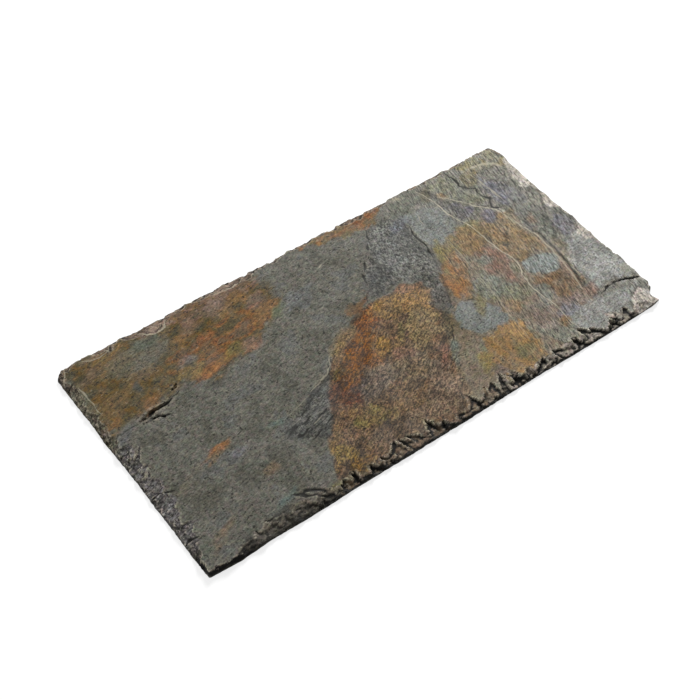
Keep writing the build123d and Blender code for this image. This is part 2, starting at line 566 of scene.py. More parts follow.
PATCHES = (
    Patch(
        "brown_field", 1.0, Edge.SOFT, "#453d22 #54451e #5f4818 #664915 #544721",
        (
            (-252, 126), (-150, 126), (-52, 122), (-40, 104), (-40, 84), (-52, 72), (-64, 62), (-90, 46),
            (-118, 41), (-140, 38), (-162, 46), (-186, 40), (-215, 37), (-236, 35), (-252, 26),
        ),
    ),
    Patch(
        "back_strip", 0.75, Edge.RAGGED, "#6a5038 #7c5a30 #745848 #7b6258 #70502e",
        (
            (-164, 112), (-140, 110), (-120, 104), (-70, 108), (-48, 100), (-40, 112), (-60, 122),
            (-164, 126),
        ),
    ),
    Patch(
        "orange_field", 0.9, Edge.RAGGED, "#4f4428 #6c5228 #8a5b2a #764923 #66503a",
        (
            (-168, 70), (-148, 80), (-120, 86), (-84, 87), (-42, 82), (-50, 70), (-76, 58), (-92, 46),
            (-114, 44), (-148, 38), (-160, 46), (-148, 57),
        ),
    ),
    Patch(
        "warm_head", 0.9, Edge.RAGGED, "#6f6450 #7c6c56 #82705c #796d5a #857460 #74705a",
        (
            (30, -128), (56, -56), (74, -28), (92, 4), (108, 44), (128, 46), (156, 52), (188, 56),
            (204, 44), (208, 4), (206, -34), (200, -76), (190, -90), (158, -90), (150, -128),
        ),
    ),
    Patch(
        "rust_flake", 1.0, Edge.CRISP, "#45382b #564636 #64523f #6b5848 #5e4836 #6e5a42",
        (
            (20, 28), (0, 22), (-16, 13), (-31, 6), (-46, -4), (-58, -18), (-66, -33), (-77, -50),
            (-90, -65), (-102, -81), (-112, -98), (-118, -130), (24, -130), (42, -80), (60, -51), (74, -28),
            (67, -12), (72, 4), (77, 22), (60, 30), (40, 26),
        ),
    ),
    Patch(
        "flank", 0.85, Edge.RAGGED, "#72664f #7d6c58 #837260 #7b7058 #746e5c",
        (
            (38, -80), (52, -52), (60, -30), (76, -44), (74, -62), (66, -80), (60, -104), (52, -124),
            (18, -130),
        ),
    ),
    Patch(
        "granular_floor", 0.95, Edge.RAGGED, "#43433e #53534d #605f59 #6b6a65 #565650",
        (
            (74, 101), (98, 104), (112, 92), (109, 74), (109, 50), (103, 34), (96, 16), (88, -2), (78, -16),
            (72, -4), (77, 16), (74, 27), (56, 31), (30, 28), (34, 46), (45, 63), (57, 76), (68, 90),
        ),
    ),
    Patch(
        "torn_floor", 0.95, Edge.RAGGED, "#3a3b37 #484945 #555550 #60605b",
        ((-126, -48), (-100, -34), (-62, -20), (-60, -30), (-78, -55), (-92, -72), (-112, -66)),
    ),
    Patch(
        "blue_plate", 0.95, Edge.CRISP, "#6f726d #767975 #7d807c #747770",
        ((112, 94), (126, 97), (141, 92), (151, 84), (152, 62), (146, 50), (126, 46), (112, 50), (109, 66)),
    ),
    Patch(
        "blue_hollow", 0.95, Edge.CRISP, "#6f736e #767a76 #7d817c",
        (
            (77, -26), (90, -18), (101, -23), (112, -36), (118, -50), (113, -63), (98, -64), (82, -60),
            (71, -42),
        ),
    ),
    Patch(
        "green_shelf", 0.75, Edge.RAGGED, "#6e7263 #757863 #6c7070 #7d7654",
        ((100, -10), (116, -6), (136, -2), (146, -12), (148, -32), (138, -44), (122, -40), (110, -30)),
    ),
    Patch(
        "orange_shelf", 0.95, Edge.RAGGED, "#776a44 #826640 #89633c #85623e #7a6246",
        (
            (91, -16), (90, 0), (95, 15), (106, 22), (117, 36), (128, 34), (127, 16), (119, 0), (111, -14),
            (104, -23), (95, -24),
        ),
    ),
    Patch(
        "ochre_shelf", 0.85, Edge.RAGGED, "#6a654a #74683e #7b683c #716a4e #80643e",
        ((110, 46), (128, 45), (146, 46), (161, 50), (168, 38), (160, 24), (140, 20), (126, 30), (112, 32)),
    ),
    Patch(
        "ochre_foot", 0.95, Edge.RAGGED, "#786840 #866a3c #926e3c #997746 #826846",
        (
            (58, -128), (62, -104), (69, -78), (80, -66), (100, -63), (118, -66), (121, -96), (114, -114),
            (100, -128),
        ),
    ),
    Patch(
        "pink_rib", 0.85, Edge.RAGGED, "#6e6053 #7b6152 #835f4e #77675a",
        ((138, 22), (158, 27), (165, 5), (163, -15), (150, -33), (140, -25), (134, -5)),
    ),
    Patch(
        "brown_rib", 0.95, Edge.RAGGED, "#695c46 #7a684a #876e48 #7d6f57 #8a6c4a",
        (
            (163, 46), (195, 48), (201, 20), (203, -5), (199, -13), (184, -14), (169, -18), (164, -4),
            (161, 20),
        ),
    ),
    Patch(
        "brown_foot", 0.9, Edge.RAGGED, "#62503a #745a3c #806446 #6e5e48",
        ((164, -34), (175, -40), (200, -42), (202, -56), (196, -70), (182, -78), (164, -62)),
    ),
    Patch(
        "red_foot", 0.75, Edge.RAGGED, "#7a685e #7f6456 #826c62",
        ((164, -74), (195, -70), (208, -80), (192, -92), (168, -88)),
    ),
    Patch(
        "plum_rib", 0.85, Edge.RAGGED, "#5c5b5a #656269 #6c6972",
        ((154, 90), (172, 81), (179, 66), (171, 59), (157, 62)),
    ),
    Patch(
        "plum_edge", 0.55, Edge.RAGGED, "#686767 #6d6b71 #737079",
        ((209, 90), (222, 86), (228, 66), (222, 40), (214, 48), (208, 58), (206, 76)),
    ),
    Patch(
        "olive_furrow", 0.8, Edge.RAGGED, "#67664f #73735e #787a68 #6f7064",
        ((156, 116), (186, 118), (188, 98), (196, 84), (198, 66), (186, 66), (174, 82), (162, 100)),
    ),
    Patch(
        "beige_corner", 0.7, Edge.RAGGED, "#8b8468 #8f8b78 #888a7d #8c7c52",
        ((198, 124), (248, 124), (248, 98), (226, 101), (204, 106)),
    ),
    Patch(
        "back_orange", 0.95, Edge.RAGGED, "#715a34 #7f5c30 #7c5029 #836442 #70623c",
        ((12, 122), (50, 127), (108, 127), (106, 112), (76, 103), (50, 106), (26, 112)),
    ),
    Patch(
        "pale_plate", 0.9, Edge.RAGGED, "#80807c #94948f #a2a29d #8b8b87 #a7a7a1",
        (
            (206, -84), (225, -80), (246, -88), (252, -60), (250, -18), (230, -12), (214, -26), (208, -44),
            (205, -64),
        ),
    ),
    Patch(
        "grey_foot", 0.85, Edge.RAGGED, "#888783 #93928d #999894 #8e8d87",
        (
            (158, -88), (176, -86), (196, -88), (214, -90), (228, -90), (226, -104), (214, -116),
            (190, -122), (160, -120),
        ),
    ),
    Patch(
        "green_foot", 0.7, Edge.RAGGED, "#80857a #868b80 #7d8274",
        ((126, -86), (150, -84), (160, -96), (150, -112), (128, -112)),
    ),
)

SPOTS = (
    # The brown field along the back of the tail
    Spot((-211, 104), (27, 9), 22, 0.8, "#68563a #755d34 #7d6236 #6a563c"),
    Spot((-178, 96), (31, 14), 8, 0.7, "#5b5846 #656250 #605c4c"),
    Spot((-92, 104), (28, 9), 5, 0.65, "#715d4d #7a6557 #7f6b5f"),
    Spot((-178, 86), (24, 8), 18, 0.6, "#5c5a4e #646258 #626055"),
    Spot((-209, 68), (30, 10), 18, 0.75, "#665638 #725b35 #70593a"),
    Spot((-226, 100), (10, 5), 20, 0.6, "#584a40 #625248"),
    Spot((-200, 42), (11, 5), 20, 0.8, "#7d5c38 #8f6438 #87603a"),
    Spot((-238, 44), (8, 5), 15, 0.6, "#775a32 #855e2f #8a6230"),
    Spot((-198, 66), (5, 6), 0, 0.9, "#45463f #4e4f48", Edge.CRISP),
    Spot((-164, 106), (15, 5), 10, 0.75, "#565d50 #5e6558"),
    Spot((-123, 97), (11, 5), 10, 0.6, "#775d4a #80634d"),
    Spot((-141, 91), (7, 4), 0, 0.7, "#7d5c32 #866030"),
    Spot((-82, 100), (15, 8), 10, 0.8, "#6a4e2c #77592d #82622f"),
    Spot((-59, 91), (12, 7), 10, 0.4, "#7b645c #846c67"),
    Spot((-60, 74), (16, 6), 12, 0.85, "#6a5230 #79592f #7c5c34"),
    Spot((-51, 67), (9, 5), 30, 0.75, "#5b6448 #656e4e"),
    Spot((-153, 54), (12, 9), 20, 0.75, "#72623a #7d693b"),
    Spot((-146, 67), (9, 6), 0, 0.6, "#68615f #706969"),
    Spot((-137, 46), (12, 5), 25, 0.75, "#85603a #936238 #986434"),
    Spot((-119, 71), (12, 14), -20, 0.7, "#72563a #7c5434 #824f2e #7c5a38"),
    Spot((-111, 51), (17, 6), 5, 0.7, "#716335 #7b6938 #846230"),
    Spot((-90, 49), (10, 8), 0, 0.75, "#7c5e4b #866450 #7a6048"),
    Spot((-243, 79), (22, 5), 90, 0.6, "#5a604e #636656"),
    Spot((-247, 54), (12, 4), 90, 0.7, "#68544c #755d55"),
    # The plain greys of the tail
    Spot((-232, 31), (15, 4), 25, 0.6, "#595e60 #616668"),
    Spot((-30, 68), (16, 10), 20, 0.4, "#6a6f74 #74787c"),
    Spot((-179, -28), (12, 6), 12, 0.95, "#7a6446 #a66a36 #be7632"),
    Spot((-220, -101), (14, 3), 35, 0.6, "#746650 #80664a"),
    Spot((-165, -40), (7, 5), 0, 0.6, "#6b6a70 #75727c"),
    Spot((-214, -42), (15, 6), 20, 0.45, "#655e4c #6b6350"),
    Spot((-151, -69), (6, 4), 0, 0.6, "#746148 #7d664a"),
    Spot((-123, -35), (8, 3), 0, 0.5, "#5c7069 #58746c"),
    Spot((-160, -102), (10, 3), 20, 0.6, "#5c6c64 #56726a"),
    Spot((-181, -109), (17, 6), 10, 0.6, "#53574b #5b5f53"),
    Spot((-154, -114), (6, 7), 0, 0.6, "#5a5438 #645d3e"),
    Spot((-113, -118), (12, 6), 10, 0.8, "#665c34 #746838"),
    Spot((-242, -106), (8, 8), 0, 0.5, "#586050 #606658"),
    # The torn floor beside the flake
    Spot((-117, -48), (7, 3), 14, 0.85, "#2b2c28 #3a3b36"),
    Spot((-106, -57), (9, 3), 14, 0.85, "#2f302b #3f403a"),
    Spot((-92, -62), (9, 4), 14, 0.8, "#33342f #43433d"),
    Spot((-84, -42), (10, 3), 14, 0.7, "#3a3a36 #484843"),
    Spot((-106, -40), (10, 3), 20, 0.5, "#6a685f #727067"),
    # The rust flake
    Spot((-54, -40), (20, 15), 30, 1.0, "#38241b #492d20 #573625 #472f24"),
    Spot((8, 12), (20, 10), 51, 1.0, "#553b25 #684023 #734525 #6e4d30"),
    Spot((-14, -8), (28, 9), 30, 0.95, "#492f1b #5e3d1e #6c4822 #573819"),
    Spot((46, 10), (30, 15), -20, 0.9, "#786448 #886e4c #907656 #826844"),
    Spot((57, 21), (8, 6), 0, 0.7, "#86685a #8a6f60"),
    Spot((42, -25), (21, 16), 50, 0.85, "#786a52 #837357 #7b6d58"),
    Spot((30, -15), (11, 5), 51, 0.55, "#5e5e42 #68664a"),
    Spot((-14, -25), (12, 8), 0, 0.85, "#65452a #704a2b"),
    Spot((4, -21), (14, 7), 51, 0.8, "#806641 #886d46"),
    Spot((-26, -47), (18, 12), 30, 0.8, "#585049 #675e54 #766b60"),
    Spot((10, -57), (26, 14), -30, 0.85, "#655c50 #726757 #695e50"),
    Spot((33, -71), (20, 10), 50, 0.75, "#5d5048 #68584f #6d5e58"),
    Spot((-52, -76), (22, 9), -20, 0.75, "#5f5636 #6b5f3c #685a40"),
    Spot((-66, -76), (5, 5), 0, 0.5, "#6a643e #726b42"),
    Spot((-95, -89), (13, 8), -30, 0.85, "#6e5f3c #7a6840 #806c46"),
    Spot((-10, -101), (42, 12), 8, 0.9, "#66584a #736453 #6d5d4e"),
    Spot((20, -84), (24, 13), 20, 0.9, "#6b5b4d #776656 #7c6d5e"),
    Spot((-60, -100), (18, 9), -20, 0.7, "#5a5046 #64584c #6c6054"),
    Spot((-91, -108), (10, 7), 0, 0.8, "#58472a #69512e"),
    Spot((-43, -18), (14, 5), 32, 0.85, "#5c5434 #6e623c #7c6f48"),
    Spot((-36, 4), (10, 5), 30, 0.75, "#6e634e #7d6f54 #857658"),
    Spot((-30, -20), (38, 11), 38, 0.95, "#46301c #5b3a1c #6d4520 #5e4426"),
    Spot((-8, -70), (30, 10), 25, 0.6, "#6a5a48 #75634c #6d5d4c"),
    Spot((7, 28), (9, 7), 0, 0.8, "#785c3c #82623c"),
    Spot((-21, 8), (15, 5), 28, 0.7, "#796850 #816d4e"),
    Spot((9, -37), (9, 7), 0, 0.7, "#775c4e #7b6256"),
    # The granular floor
    Spot((50, 46), (16, 10), 30, 0.85, "#393a38 #454644 #505150"),
    Spot((82, 76), (20, 24), 0, 0.8, "#5f5f5b #686864 #70706c"),
    Spot((80, 88), (26, 12), 20, 0.55, "#5f5f59 #6a6a64"),
    Spot((101, 58), (6, 24), 0, 0.75, "#383935 #454641 #4f504b"),
    # The shelves in front of and beside the granular floor
    Spot((102, -2), (17, 8), 68, 0.8, "#84663c #936638 #9a6836"),
    Spot((114, 41), (12, 5), 60, 0.8, "#777040 #807646"),
    Spot((142, 7), (8, 8), 0, 0.7, "#68706a #70766e"),
    Spot((152, 29), (12, 7), 70, 0.8, "#7a623c #84673e"),
    Spot((157, 48), (9, 8), 0, 0.7, "#6b684a #74714e"),
    Spot((105, -33), (10, 5), 60, 0.75, "#786d48 #80744c"),
    Spot((128, -53), (9, 8), 0, 0.7, "#846a48 #8e7048 #8a7250"),
    Spot((143, -46), (9, 8), 0, 0.6, "#70715c #787960"),
    Spot((78, -6), (16, 8), 60, 0.85, "#4a4742 #56524c #605a54"),
    Spot((68, -36), (12, 7), 55, 0.8, "#5c5438 #685c40 #615a46"),
    Spot((64, -34), (22, 3.5), 60, 0.8, "#3c3a30 #4a463a"),
    Spot((40, -63), (12, 5), 52, 0.8, "#6e4f42 #7a594b"),
    Spot((26, -18), (14, 6), 51, 0.7, "#4c452c #595036"),
    Spot((128, -25), (12, 12), 0, 0.7, "#6f7468 #797d70"),
    Spot((135, -39), (11, 8), 0, 0.6, "#74765f #7e7f68"),
    Spot((118, 106), (22, 10), 0, 0.75, "#5c5f52 #67695a"),
    Spot((104, 88), (13, 4), 15, 0.7, "#62656c #6c6f79"),
    Spot((146, 34), (17, 9), 70, 0.7, "#84694a #8d7250 #82704e"),
    Spot((52, -62), (17, 4), 60, 0.75, "#5c665e #646e67"),
    Spot((65, -88), (13, 6), 55, 0.8, "#7e703c #86773f"),
    Spot((111, -78), (13, 7), 70, 0.8, "#957648 #a2804c"),
    Spot((104, -100), (11, 7), 0, 0.7, "#6c6b50 #757052"),
    Spot((70, -103), (11, 8), 0, 0.8, "#6c615c #756864"),
    Spot((143, -77), (23, 14), 80, 0.7, "#7a6d64 #827268 #786e66"),
    # The ribs and the head
    Spot((184, -27), (18, 11), 0, 1.0, "#787d78 #808580 #878c87", Edge.CRISP),
    Spot((184, 50), (12, 6), 51, 0.85, "#696771 #726f7a"),
    Spot((153, 106), (10, 4), 60, 0.8, "#4d4833 #57523a"),
    Spot((165, 97), (6, 4), 0, 0.8, "#846538 #8c6a3a"),
    Spot((173, 104), (14, 3), 60, 0.5, "#5a5740 #66624a"),
    Spot((197, 34), (15, 4), 85, 0.7, "#7f7660 #878062"),
    Spot((200, 100), (12, 8), 40, 0.75, "#686146 #726949"),
    Spot((210, 72), (19, 8), 80, 0.8, "#66666c #6e6e76"),
    Spot((216, 36), (16, 8), 80, 0.6, "#666962 #6e706a"),
    Spot((214, 21), (8, 5), 80, 0.7, "#7a6757 #806552"),
    Spot((214, -18), (12, 6), 78, 0.7, "#70644c #776a4c"),
    Spot((219, 4), (20, 8), 78, 0.6, "#676b5f #707467"),
    Spot((233, -2), (15, 8), 78, 0.75, "#6e6d74 #76747c"),
    Spot((226, -18), (8, 5), 0, 0.6, "#5e5e5a #676763"),
    Spot((245, 98), (6, 6), 0, 0.7, "#7e6c40 #877445"),
    Spot((209, 116), (10, 4), 0, 0.8, "#7c6e40 #857644"),
    Spot((197, -45), (12, 4), 75, 0.75, "#80685a #886e60"),
    Spot((160, -59), (10, 8), 80, 0.7, "#68706a #707872"),
    Spot((200, -78), (8, 7), 0, 0.8, "#7f6456 #86695c"),
    Spot((178, -80), (12, 6), 0, 0.6, "#7c736e #827870"),
    Spot((165, -86), (10, 6), 0, 0.7, "#727278 #797a82"),
    Spot((152, -93), (5, 4), 0, 0.8, "#7f5e32 #8a683a"),
    Spot((243, -80), (6, 5), 0, 0.7, "#84805f #8c8768"),
    Spot((85, 120), (18, 6), 0, 1.0, "#6c472a #7c4f2c"),
    Spot((236, -66), (13, 24), 0, 0.6, "#9e9e9a #aaaaa6"),
    Spot((226, -98), (16, 7), 0, 0.6, "#979793 #a2a29e"),
)

STAINS = PATCHES + SPOTS

# Flakes that broke off last, so that they show fresh stone, and a painted shade on the dark bevel at the
# front of the tail.
FLAKES = (
    # A painted shade on the bevel along the front of the tail, which faces away from the light.
    Patch(
        "front_smear", 0.8, Edge.RAGGED, "#1f1e1a #302e28 #3d3a32 #4a463c",
        ((-214, -128), (-206, -114), (-190, -108), (-166, -108), (-148, -112), (-132, -118), (-122, -130)),
    ),
    Patch(
        "fresh_corner", 1.0, Edge.CRISP, "#aaa297 #b8afa5 #c2b9af",
        ((214, -118), (220, -110), (224, -105), (236, -100), (243, -112), (246, -130), (218, -130)),
    ),
    Patch(
        "upper_head_flake", 1.0, Edge.CRISP, "#a39c91 #b5aea3 #c2bbb0",
        ((252, 104), (243, 98), (240, 86), (235, 75), (240, 69), (234, 64), (239, 58), (252, 54)),
    ),
    Patch(
        "middle_head_flake", 1.0, Edge.CRISP, "#a39c91 #b5aea3 #c2bbb0",
        ((252, 46), (244, 41), (238, 32), (238, 25), (243, 21), (252, 17)),
    ),
    Patch(
        "lower_head_flake", 1.0, Edge.CRISP, "#a39c91 #b5aea3 #c2bbb0",
        ((252, -4), (245, -8), (239, -17), (240, -27), (245, -31), (252, -34)),
    ),
    Spot((-152, 115), (12, 6), 0, 0.65, "#6c5b4f #8a7768 #9e8b7b"),
    Spot((-72, 119), (15, 4), 0, 0.6, "#6c5b4f #867363 #988574"),
    Spot((-208, 119), (14, 4), 0, 0.55, "#6c5b4f #867363 #988574"),
    Spot((116, 119), (9, 4), 0, 0.6, "#77705e #8d8672 #9c957f"),
)
PATCH = {patch.name: patch for patch in PATCHES}

# Pale lines are painted highlights on lit step rims, with paler broken stone; dark lines are painted shade
# in cracks and on step flanks facing away from the light.
LINES = (
    Line(
        Tone.PALE, 0.5, 0.95, 0.3,
        (
            (146, 114), (150, 100), (152, 88), (152, 75), (156, 60), (160, 48), (161, 20), (163, 5),
            (166, -6), (164, -19), (159, -28), (156, -40), (157, -58), (159, -76), (157, -95), (158, -105),
        ),
    ),
    Line(
        Tone.PALE, 0.75, 0.55, 0.25,
        (
            (156, 112), (162, 103), (161, 95), (168, 86), (175, 78), (180, 67), (187, 60), (194, 52),
            (198, 36), (200, 20), (204, 2), (203, -16), (201, -38), (197, -57), (193, -71), (190, -90),
        ),
    ),
    Line(
        Tone.DARK, 0.9, 0.5, -0.25,
        (
            (204, 56), (205, 40), (206, 22), (208, 4), (207, -14), (205, -34), (201, -54), (197, -68),
            (194, -82),
        ),
    ),
    Line(
        Tone.DARK, 0.8, 0.95, -0.3,
        (
            (186, 120), (187, 106), (188, 100), (186, 97), (189, 92), (197, 85), (195, 80), (196, 73),
            (200, 67), (197, 63), (194, 57), (196, 53), (203, 52),
        ),
    ),
    Line(Tone.PALE, 1.0, 0.5, 0.1, ((205, 102), (207, 84), (209, 60))),
    Line(Tone.DARK, 1.1, 0.4, -0.1, ((226, 24), (227, 10), (225, -2))),
    Line(Tone.PALE, 1.2, 0.55, 0.1, ((206, 110), (216, 109), (226, 107), (233, 102), (240, 90))),
    Line(Tone.DARK, 2.2, 0.5, -0.1, ((151, 113), (156, 104), (158, 94), (163, 84))),
    Line(Tone.DARK, 1.3, 1.0, -0.6, ((75, 102), (71, 95), (69, 90))),
    Line(Tone.DARK, 1.0, 0.9, -0.5, ((64, 86), (61, 80))),
    Line(Tone.DARK, 1.4, 1.0, -0.6, ((49, 70), (43, 62))),
    Line(Tone.DARK, 1.4, 1.0, -0.6, ((38, 58), (35, 48))),
    Line(Tone.DARK, 0.6, 0.7, -0.4, ((26, 36), (22, 29))),
    Line(Tone.DARK, 0.9, 0.95, -0.4, ((112, 82), (109, 72), (109, 60), (110, 53), (107, 45), (104, 35))),
    Line(Tone.DARK, 1.3, 0.45, -0.2, ((104, 35), (100, 22), (95, 10), (92, 2), (88, -10))),
    Line(Tone.DARK, 0.9, 0.5, -0.3, ((92, 2), (86, -8), (82, -18), (75, -22))),
    Line(Tone.DARK, 0.7, 0.4, -0.2, ((58, -28), (54, -40), (50, -52), (40, -66))),
    Line(Tone.DARK, 0.8, 0.8, -0.4, ((67, -36), (62, -44), (57, -53))),
    Line(Tone.PALE, 0.5, 0.6, 0.1, ((-44, -2), (-50, -10), (-58, -17), (-70, -21), (-80, -24))),
    Line(Tone.PALE, 0.4, 0.25, 0.05, ((-84, -26), (-100, -31), (-116, -35))),
    Line(Tone.DARK, 0.9, 0.6, -0.3, ((-62, -22), (-74, -27), (-90, -34))),
    Line(Tone.DARK, 0.7, 0.9, -0.3, ((-106, -48), (-100, -47), (-96, -44))),
    Line(Tone.DARK, 0.7, 0.6, -0.3, ((-100, -14), (-92, -12), (-86, -10))),
    Line(Tone.DARK, 0.6, 0.8, -0.3, ((95, -22), (99, -22.5), (104, -25))),
    Line(Tone.DARK, 0.5, 0.6, -0.2, ((112, -20), (117, -21))),
    Line(Tone.DARK, 0.5, 0.5, -0.2, ((118, 36), (114, 20), (110, 6), (104, -10))),
    Line(Tone.DARK, 0.5, 0.5, -0.2, ((120, -36), (118, -46), (112, -60))),
    Line(Tone.PALE, 0.5, 0.4, 0.05, ((133, 62), (130, 40), (127, 10), (122, -30), (117, -60), (113, -90))),
    Line(Tone.PALE, 0.5, 0.45, 0.05, ((128, 94), (126, 84), (124, 76))),
    Line(
        Tone.DARK, 0.9, 1.0, -1.2,
        ((203, -88), (211, -85.5), (220, -84.5), (228, -84.5), (240, -90), (249, -93)),
    ),
    Line(
        Tone.DARK, 1.1, 1.0, -1.6,
        (
            (-215, 32), (-211, 34.5), (-207, 35), (-202, 37.5), (-197, 37), (-193, 38.5), (-188, 37.5),
            (-181, 40),
        ),
    ),
    Line(Tone.DARK, 0.7, 1.0, -1.0, ((-208, 31), (-201, 30.5), (-196, 28), (-190, 26.5))),
    Line(Tone.DARK, 0.4, 0.8, -0.6, ((-181, 40), (-176, 41), (-172, 43))),
    Line(Tone.DARK, 0.8, 0.95, -0.6, ((-177, 46.5), (-174.5, 47.5))),
    Line(Tone.DARK, 0.7, 0.9, -0.6, ((-171.5, 49.5), (-170, 51))),
    Line(Tone.DARK, 0.8, 1.0, -0.4, ((-122, -51), (-115, -48), (-110, -48))),
    Line(Tone.DARK, 0.9, 1.0, -0.4, ((-118, -58), (-111, -57), (-104, -54))),
    Line(Tone.DARK, 0.6, 0.9, -0.3, ((-102, -40), (-94, -37))),
    Line(Tone.DARK, 0.9, 1.0, -0.4, ((-108, -66), (-102, -65), (-97, -62))),
    Line(Tone.DARK, 0.8, 1.0, -0.4, ((-92, -50), (-85, -49), (-80, -46))),
    Line(Tone.DARK, 0.8, 1.0, -0.4, ((-88, -59), (-79, -56))),
    Line(Tone.PALE, 0.5, 0.4, 0.1, ((-98, -53), (-86, -50))),
    Line(Tone.DARK, 0.8, 0.5, -0.2, ((-248, 22), (-243, 28), (-239, 32), (-226, 33), (-214, 33))),
    Line(Tone.DARK, 0.8, 0.9, -0.8, ((-249, -37), (-240, -36.5), (-228, -42))),
    Line(Tone.DARK, 0.7, 0.8, -0.6, ((-249, -73), (-244, -73), (-239, -77))),
    Line(Tone.DARK, 0.8, 0.9, -0.7, ((-249, -89), (-243, -87), (-237, -90))),
    Line(Tone.DARK, 0.6, 0.8, -0.5, ((-247, 13), (-240, 13), (-236, 9))),
    Line(Tone.DARK, 0.6, 0.7, -0.5, ((-247, 3), (-241, 3))),
    Line(Tone.DARK, 0.6, 0.8, -0.5, ((-249, 100), (-242, 102))),
    Line(Tone.PALE, 0.7, 0.5, 0.1, ((-240, 96), (-239, 80), (-239, 60))),
    Line(Tone.PALE, 0.7, 0.6, 0.1, ((-248, 106), (-242, 118))),
    Line(Tone.DARK, 1.6, 1.0, -0.9, ((-154, -101), (-146, -105), (-143, -104), (-136, -109), (-129, -113))),
    Line(Tone.DARK, 1.3, 0.95, -0.8, ((-149, -106), (-143, -110), (-137, -113), (-128, -120))),
    Line(Tone.DARK, 0.6, 0.6, -0.4, ((-186, -112), (-178, -109), (-174, -111), (-163, -110))),
    Line(Tone.DARK, 0.9, 0.7, -0.5, ((6, 93), (10, 92))),
    Line(Tone.PALE, 1.1, 0.6, 0.05, ((9, 89), (15, 91))),
    Line(Tone.PALE, 0.6, 0.7, 0.05, ((-167, 120), (-161, 112), (-152, 109), (-144, 111), (-139, 118))),
    Line(Tone.PALE, 0.5, 0.6, 0.05, ((-90, 122), (-82, 117), (-70, 115), (-59, 117), (-52, 122))),
    Line(Tone.PALE, 0.5, 0.5, 0.05, ((-226, 121), (-218, 116), (-208, 114), (-199, 117), (-194, 122))),
    Line(
        Tone.DARK, 0.5, 0.8, -0.15,
        ((-165, 122), (-159, 114.5), (-152, 111.5), (-145, 113.5), (-141, 120)),
    ),
    Line(Tone.DARK, 0.4, 0.7, -0.1, ((-88, 123), (-81, 119.5), (-70, 117.5), (-60, 119.5), (-54, 123))),
)

# Banks of the terraces that are worn to a slope, and the width that they are worn over.
BANK_WIDTH = 9.0
WORN_BANKS = (
    ((75, 101), (56, 76), (36, 55), (22, 30), (8, 30), (-15, 15), (-40, 0)),
    ((104, 35), (92, 3), (80, -20), (60, -50), (40, -80), (20, -118)),
    ((75, 101), (98, 107), (116, 96)),
    ((-84, -26), (-104, -34), (-126, -48), (-124, -80), (-118, -120)),
)

DRESSING = (
    Blows(Side.FRONT, (-118, 206), 24, (4.0, 9.5), (13.0, 22.0), (2.8, 4.6), (-0.8, 1.1)),
    Blows(Side.FRONT, (-118, 212), 24, (3.0, 7.0), (7.0, 14.0), (1.4, 3.4), (-0.8, 1.0)),
    Blows(Side.FRONT, (-205, 216), 20, (2.5, 6.0), (3.0, 6.0), (0.9, 2.4), (-0.6, 0.6)),
    Blows(Side.FRONT, (-205, -122), 9, (6.0, 14.0), (7.0, 14.0), (4.0, 5.8), (-0.5, 0.5)),
    Blows(Side.TAIL, (-95, 20), 16, (4.0, 8.0), (11.0, 23.0), (4.6, 5.7), (-1.4, 0.4)),
    Blows(Side.TAIL, (-95, 20), 16, (2.0, 4.5), (5.0, 12.0), (3.6, 5.0), (-1.4, 0.4)),
    Blows(Side.TAIL, (25, 112), 20, (2.0, 5.0), (2.5, 7.0), (5.0, 6.2), (-0.6, 0.6)),
    Blows(Side.TAIL, (-116, 116), 60, (2.0, 5.0), (1.5, 4.0), (0.9, 2.6), (-0.6, 0.6)),
    Blows(Side.BACK, (-240, 246), 26, (5.0, 12.0), (4.0, 9.0), (4.0, 5.8), (-0.4, 0.4)),
    Blows(Side.BACK, (-240, 246), 40, (2.0, 6.0), (1.5, 4.5), (1.8, 4.6), (-0.5, 0.5)),
    Blows(Side.BACK, (-154, -152), 1, (11.0, 12.0), (15.0, 16.0), (5.0, 5.2), (0.0, 0.2)),
    Blows(Side.BACK, (-198, -196), 1, (6.0, 7.0), (9.0, 10.0), (5.0, 5.2), (0.0, 0.2)),
    Blows(Side.BACK, (-174, -172), 1, (5.0, 6.0), (8.0, 9.0), (5.0, 5.2), (0.0, 0.2)),
    Blows(Side.BACK, (-71, -69), 1, (10.0, 11.0), (9.0, 10.0), (5.0, 5.2), (0.0, 0.2)),
    Blows(Side.BACK, (106, 108), 1, (6.0, 7.0), (7.0, 8.0), (4.8, 5.0), (0.0, 0.2)),
    Blows(Side.BACK, (165, 167), 1, (14.0, 16.0), (7.0, 8.0), (5.0, 5.2), (0.0, 0.2)),
    Blows(Side.HEAD, (-60, 108), 16, (3.0, 8.0), (2.5, 7.0), (3.6, 5.6), (-0.5, 0.5)),
    Blows(Side.HEAD, (-90, 112), 16, (1.5, 4.0), (1.0, 2.5), (3.4, 5.4), (-0.5, 0.5)),
)

# The dark share and the dark rim of each side are painted shade as well as dirt; the front, which faces away
# from the lamps, is darkest.
BREAKS = (
    Break(Side.TAIL, (-130, 22), "#3f3c3b #575355 #777374 #666162 #4a4746", 0.8, 0.45, 0.4, 0.0),
    Break(Side.TAIL, (22, 130), "#565844 #6a6c58 #66584b #787a68 #5b4c40", 0.75, 0.3, 0.4, 0.0),
    Break(Side.HEAD, (-130, 130), "#857f73 #9d968a #aaa398 #8f8779", 0.7, 0.3, 0.4, 0.0),
    Break(Side.BACK, (-260, 260), "#4a3d32 #6e5d4d #897563 #625140 #786553", 0.85, 0.8, 0.4, 1.1),
    Break(Side.FRONT, (-260, -116), "#5c5548 #746b5c #8a8070 #7c6f60 #665c4c", 0.65, 1.0, 0.4, 3.2),
    Break(Side.FRONT, (-116, 60), "#43382b #685a47 #907c66 #786350 #544837", 0.8, 1.0, 0.45, 3.0),
    Break(Side.FRONT, (60, 260), "#6c6457 #978d7f #b8ada0 #a4998d #7f7568", 0.85, 1.0, 0.6, 1.5),
)


@dataclass(frozen=True)
class Cloud:
    """A noise: the spacing of its largest features, how many finer noises it holds, and their strength."""

    size: float
    detail: float
    roughness: float


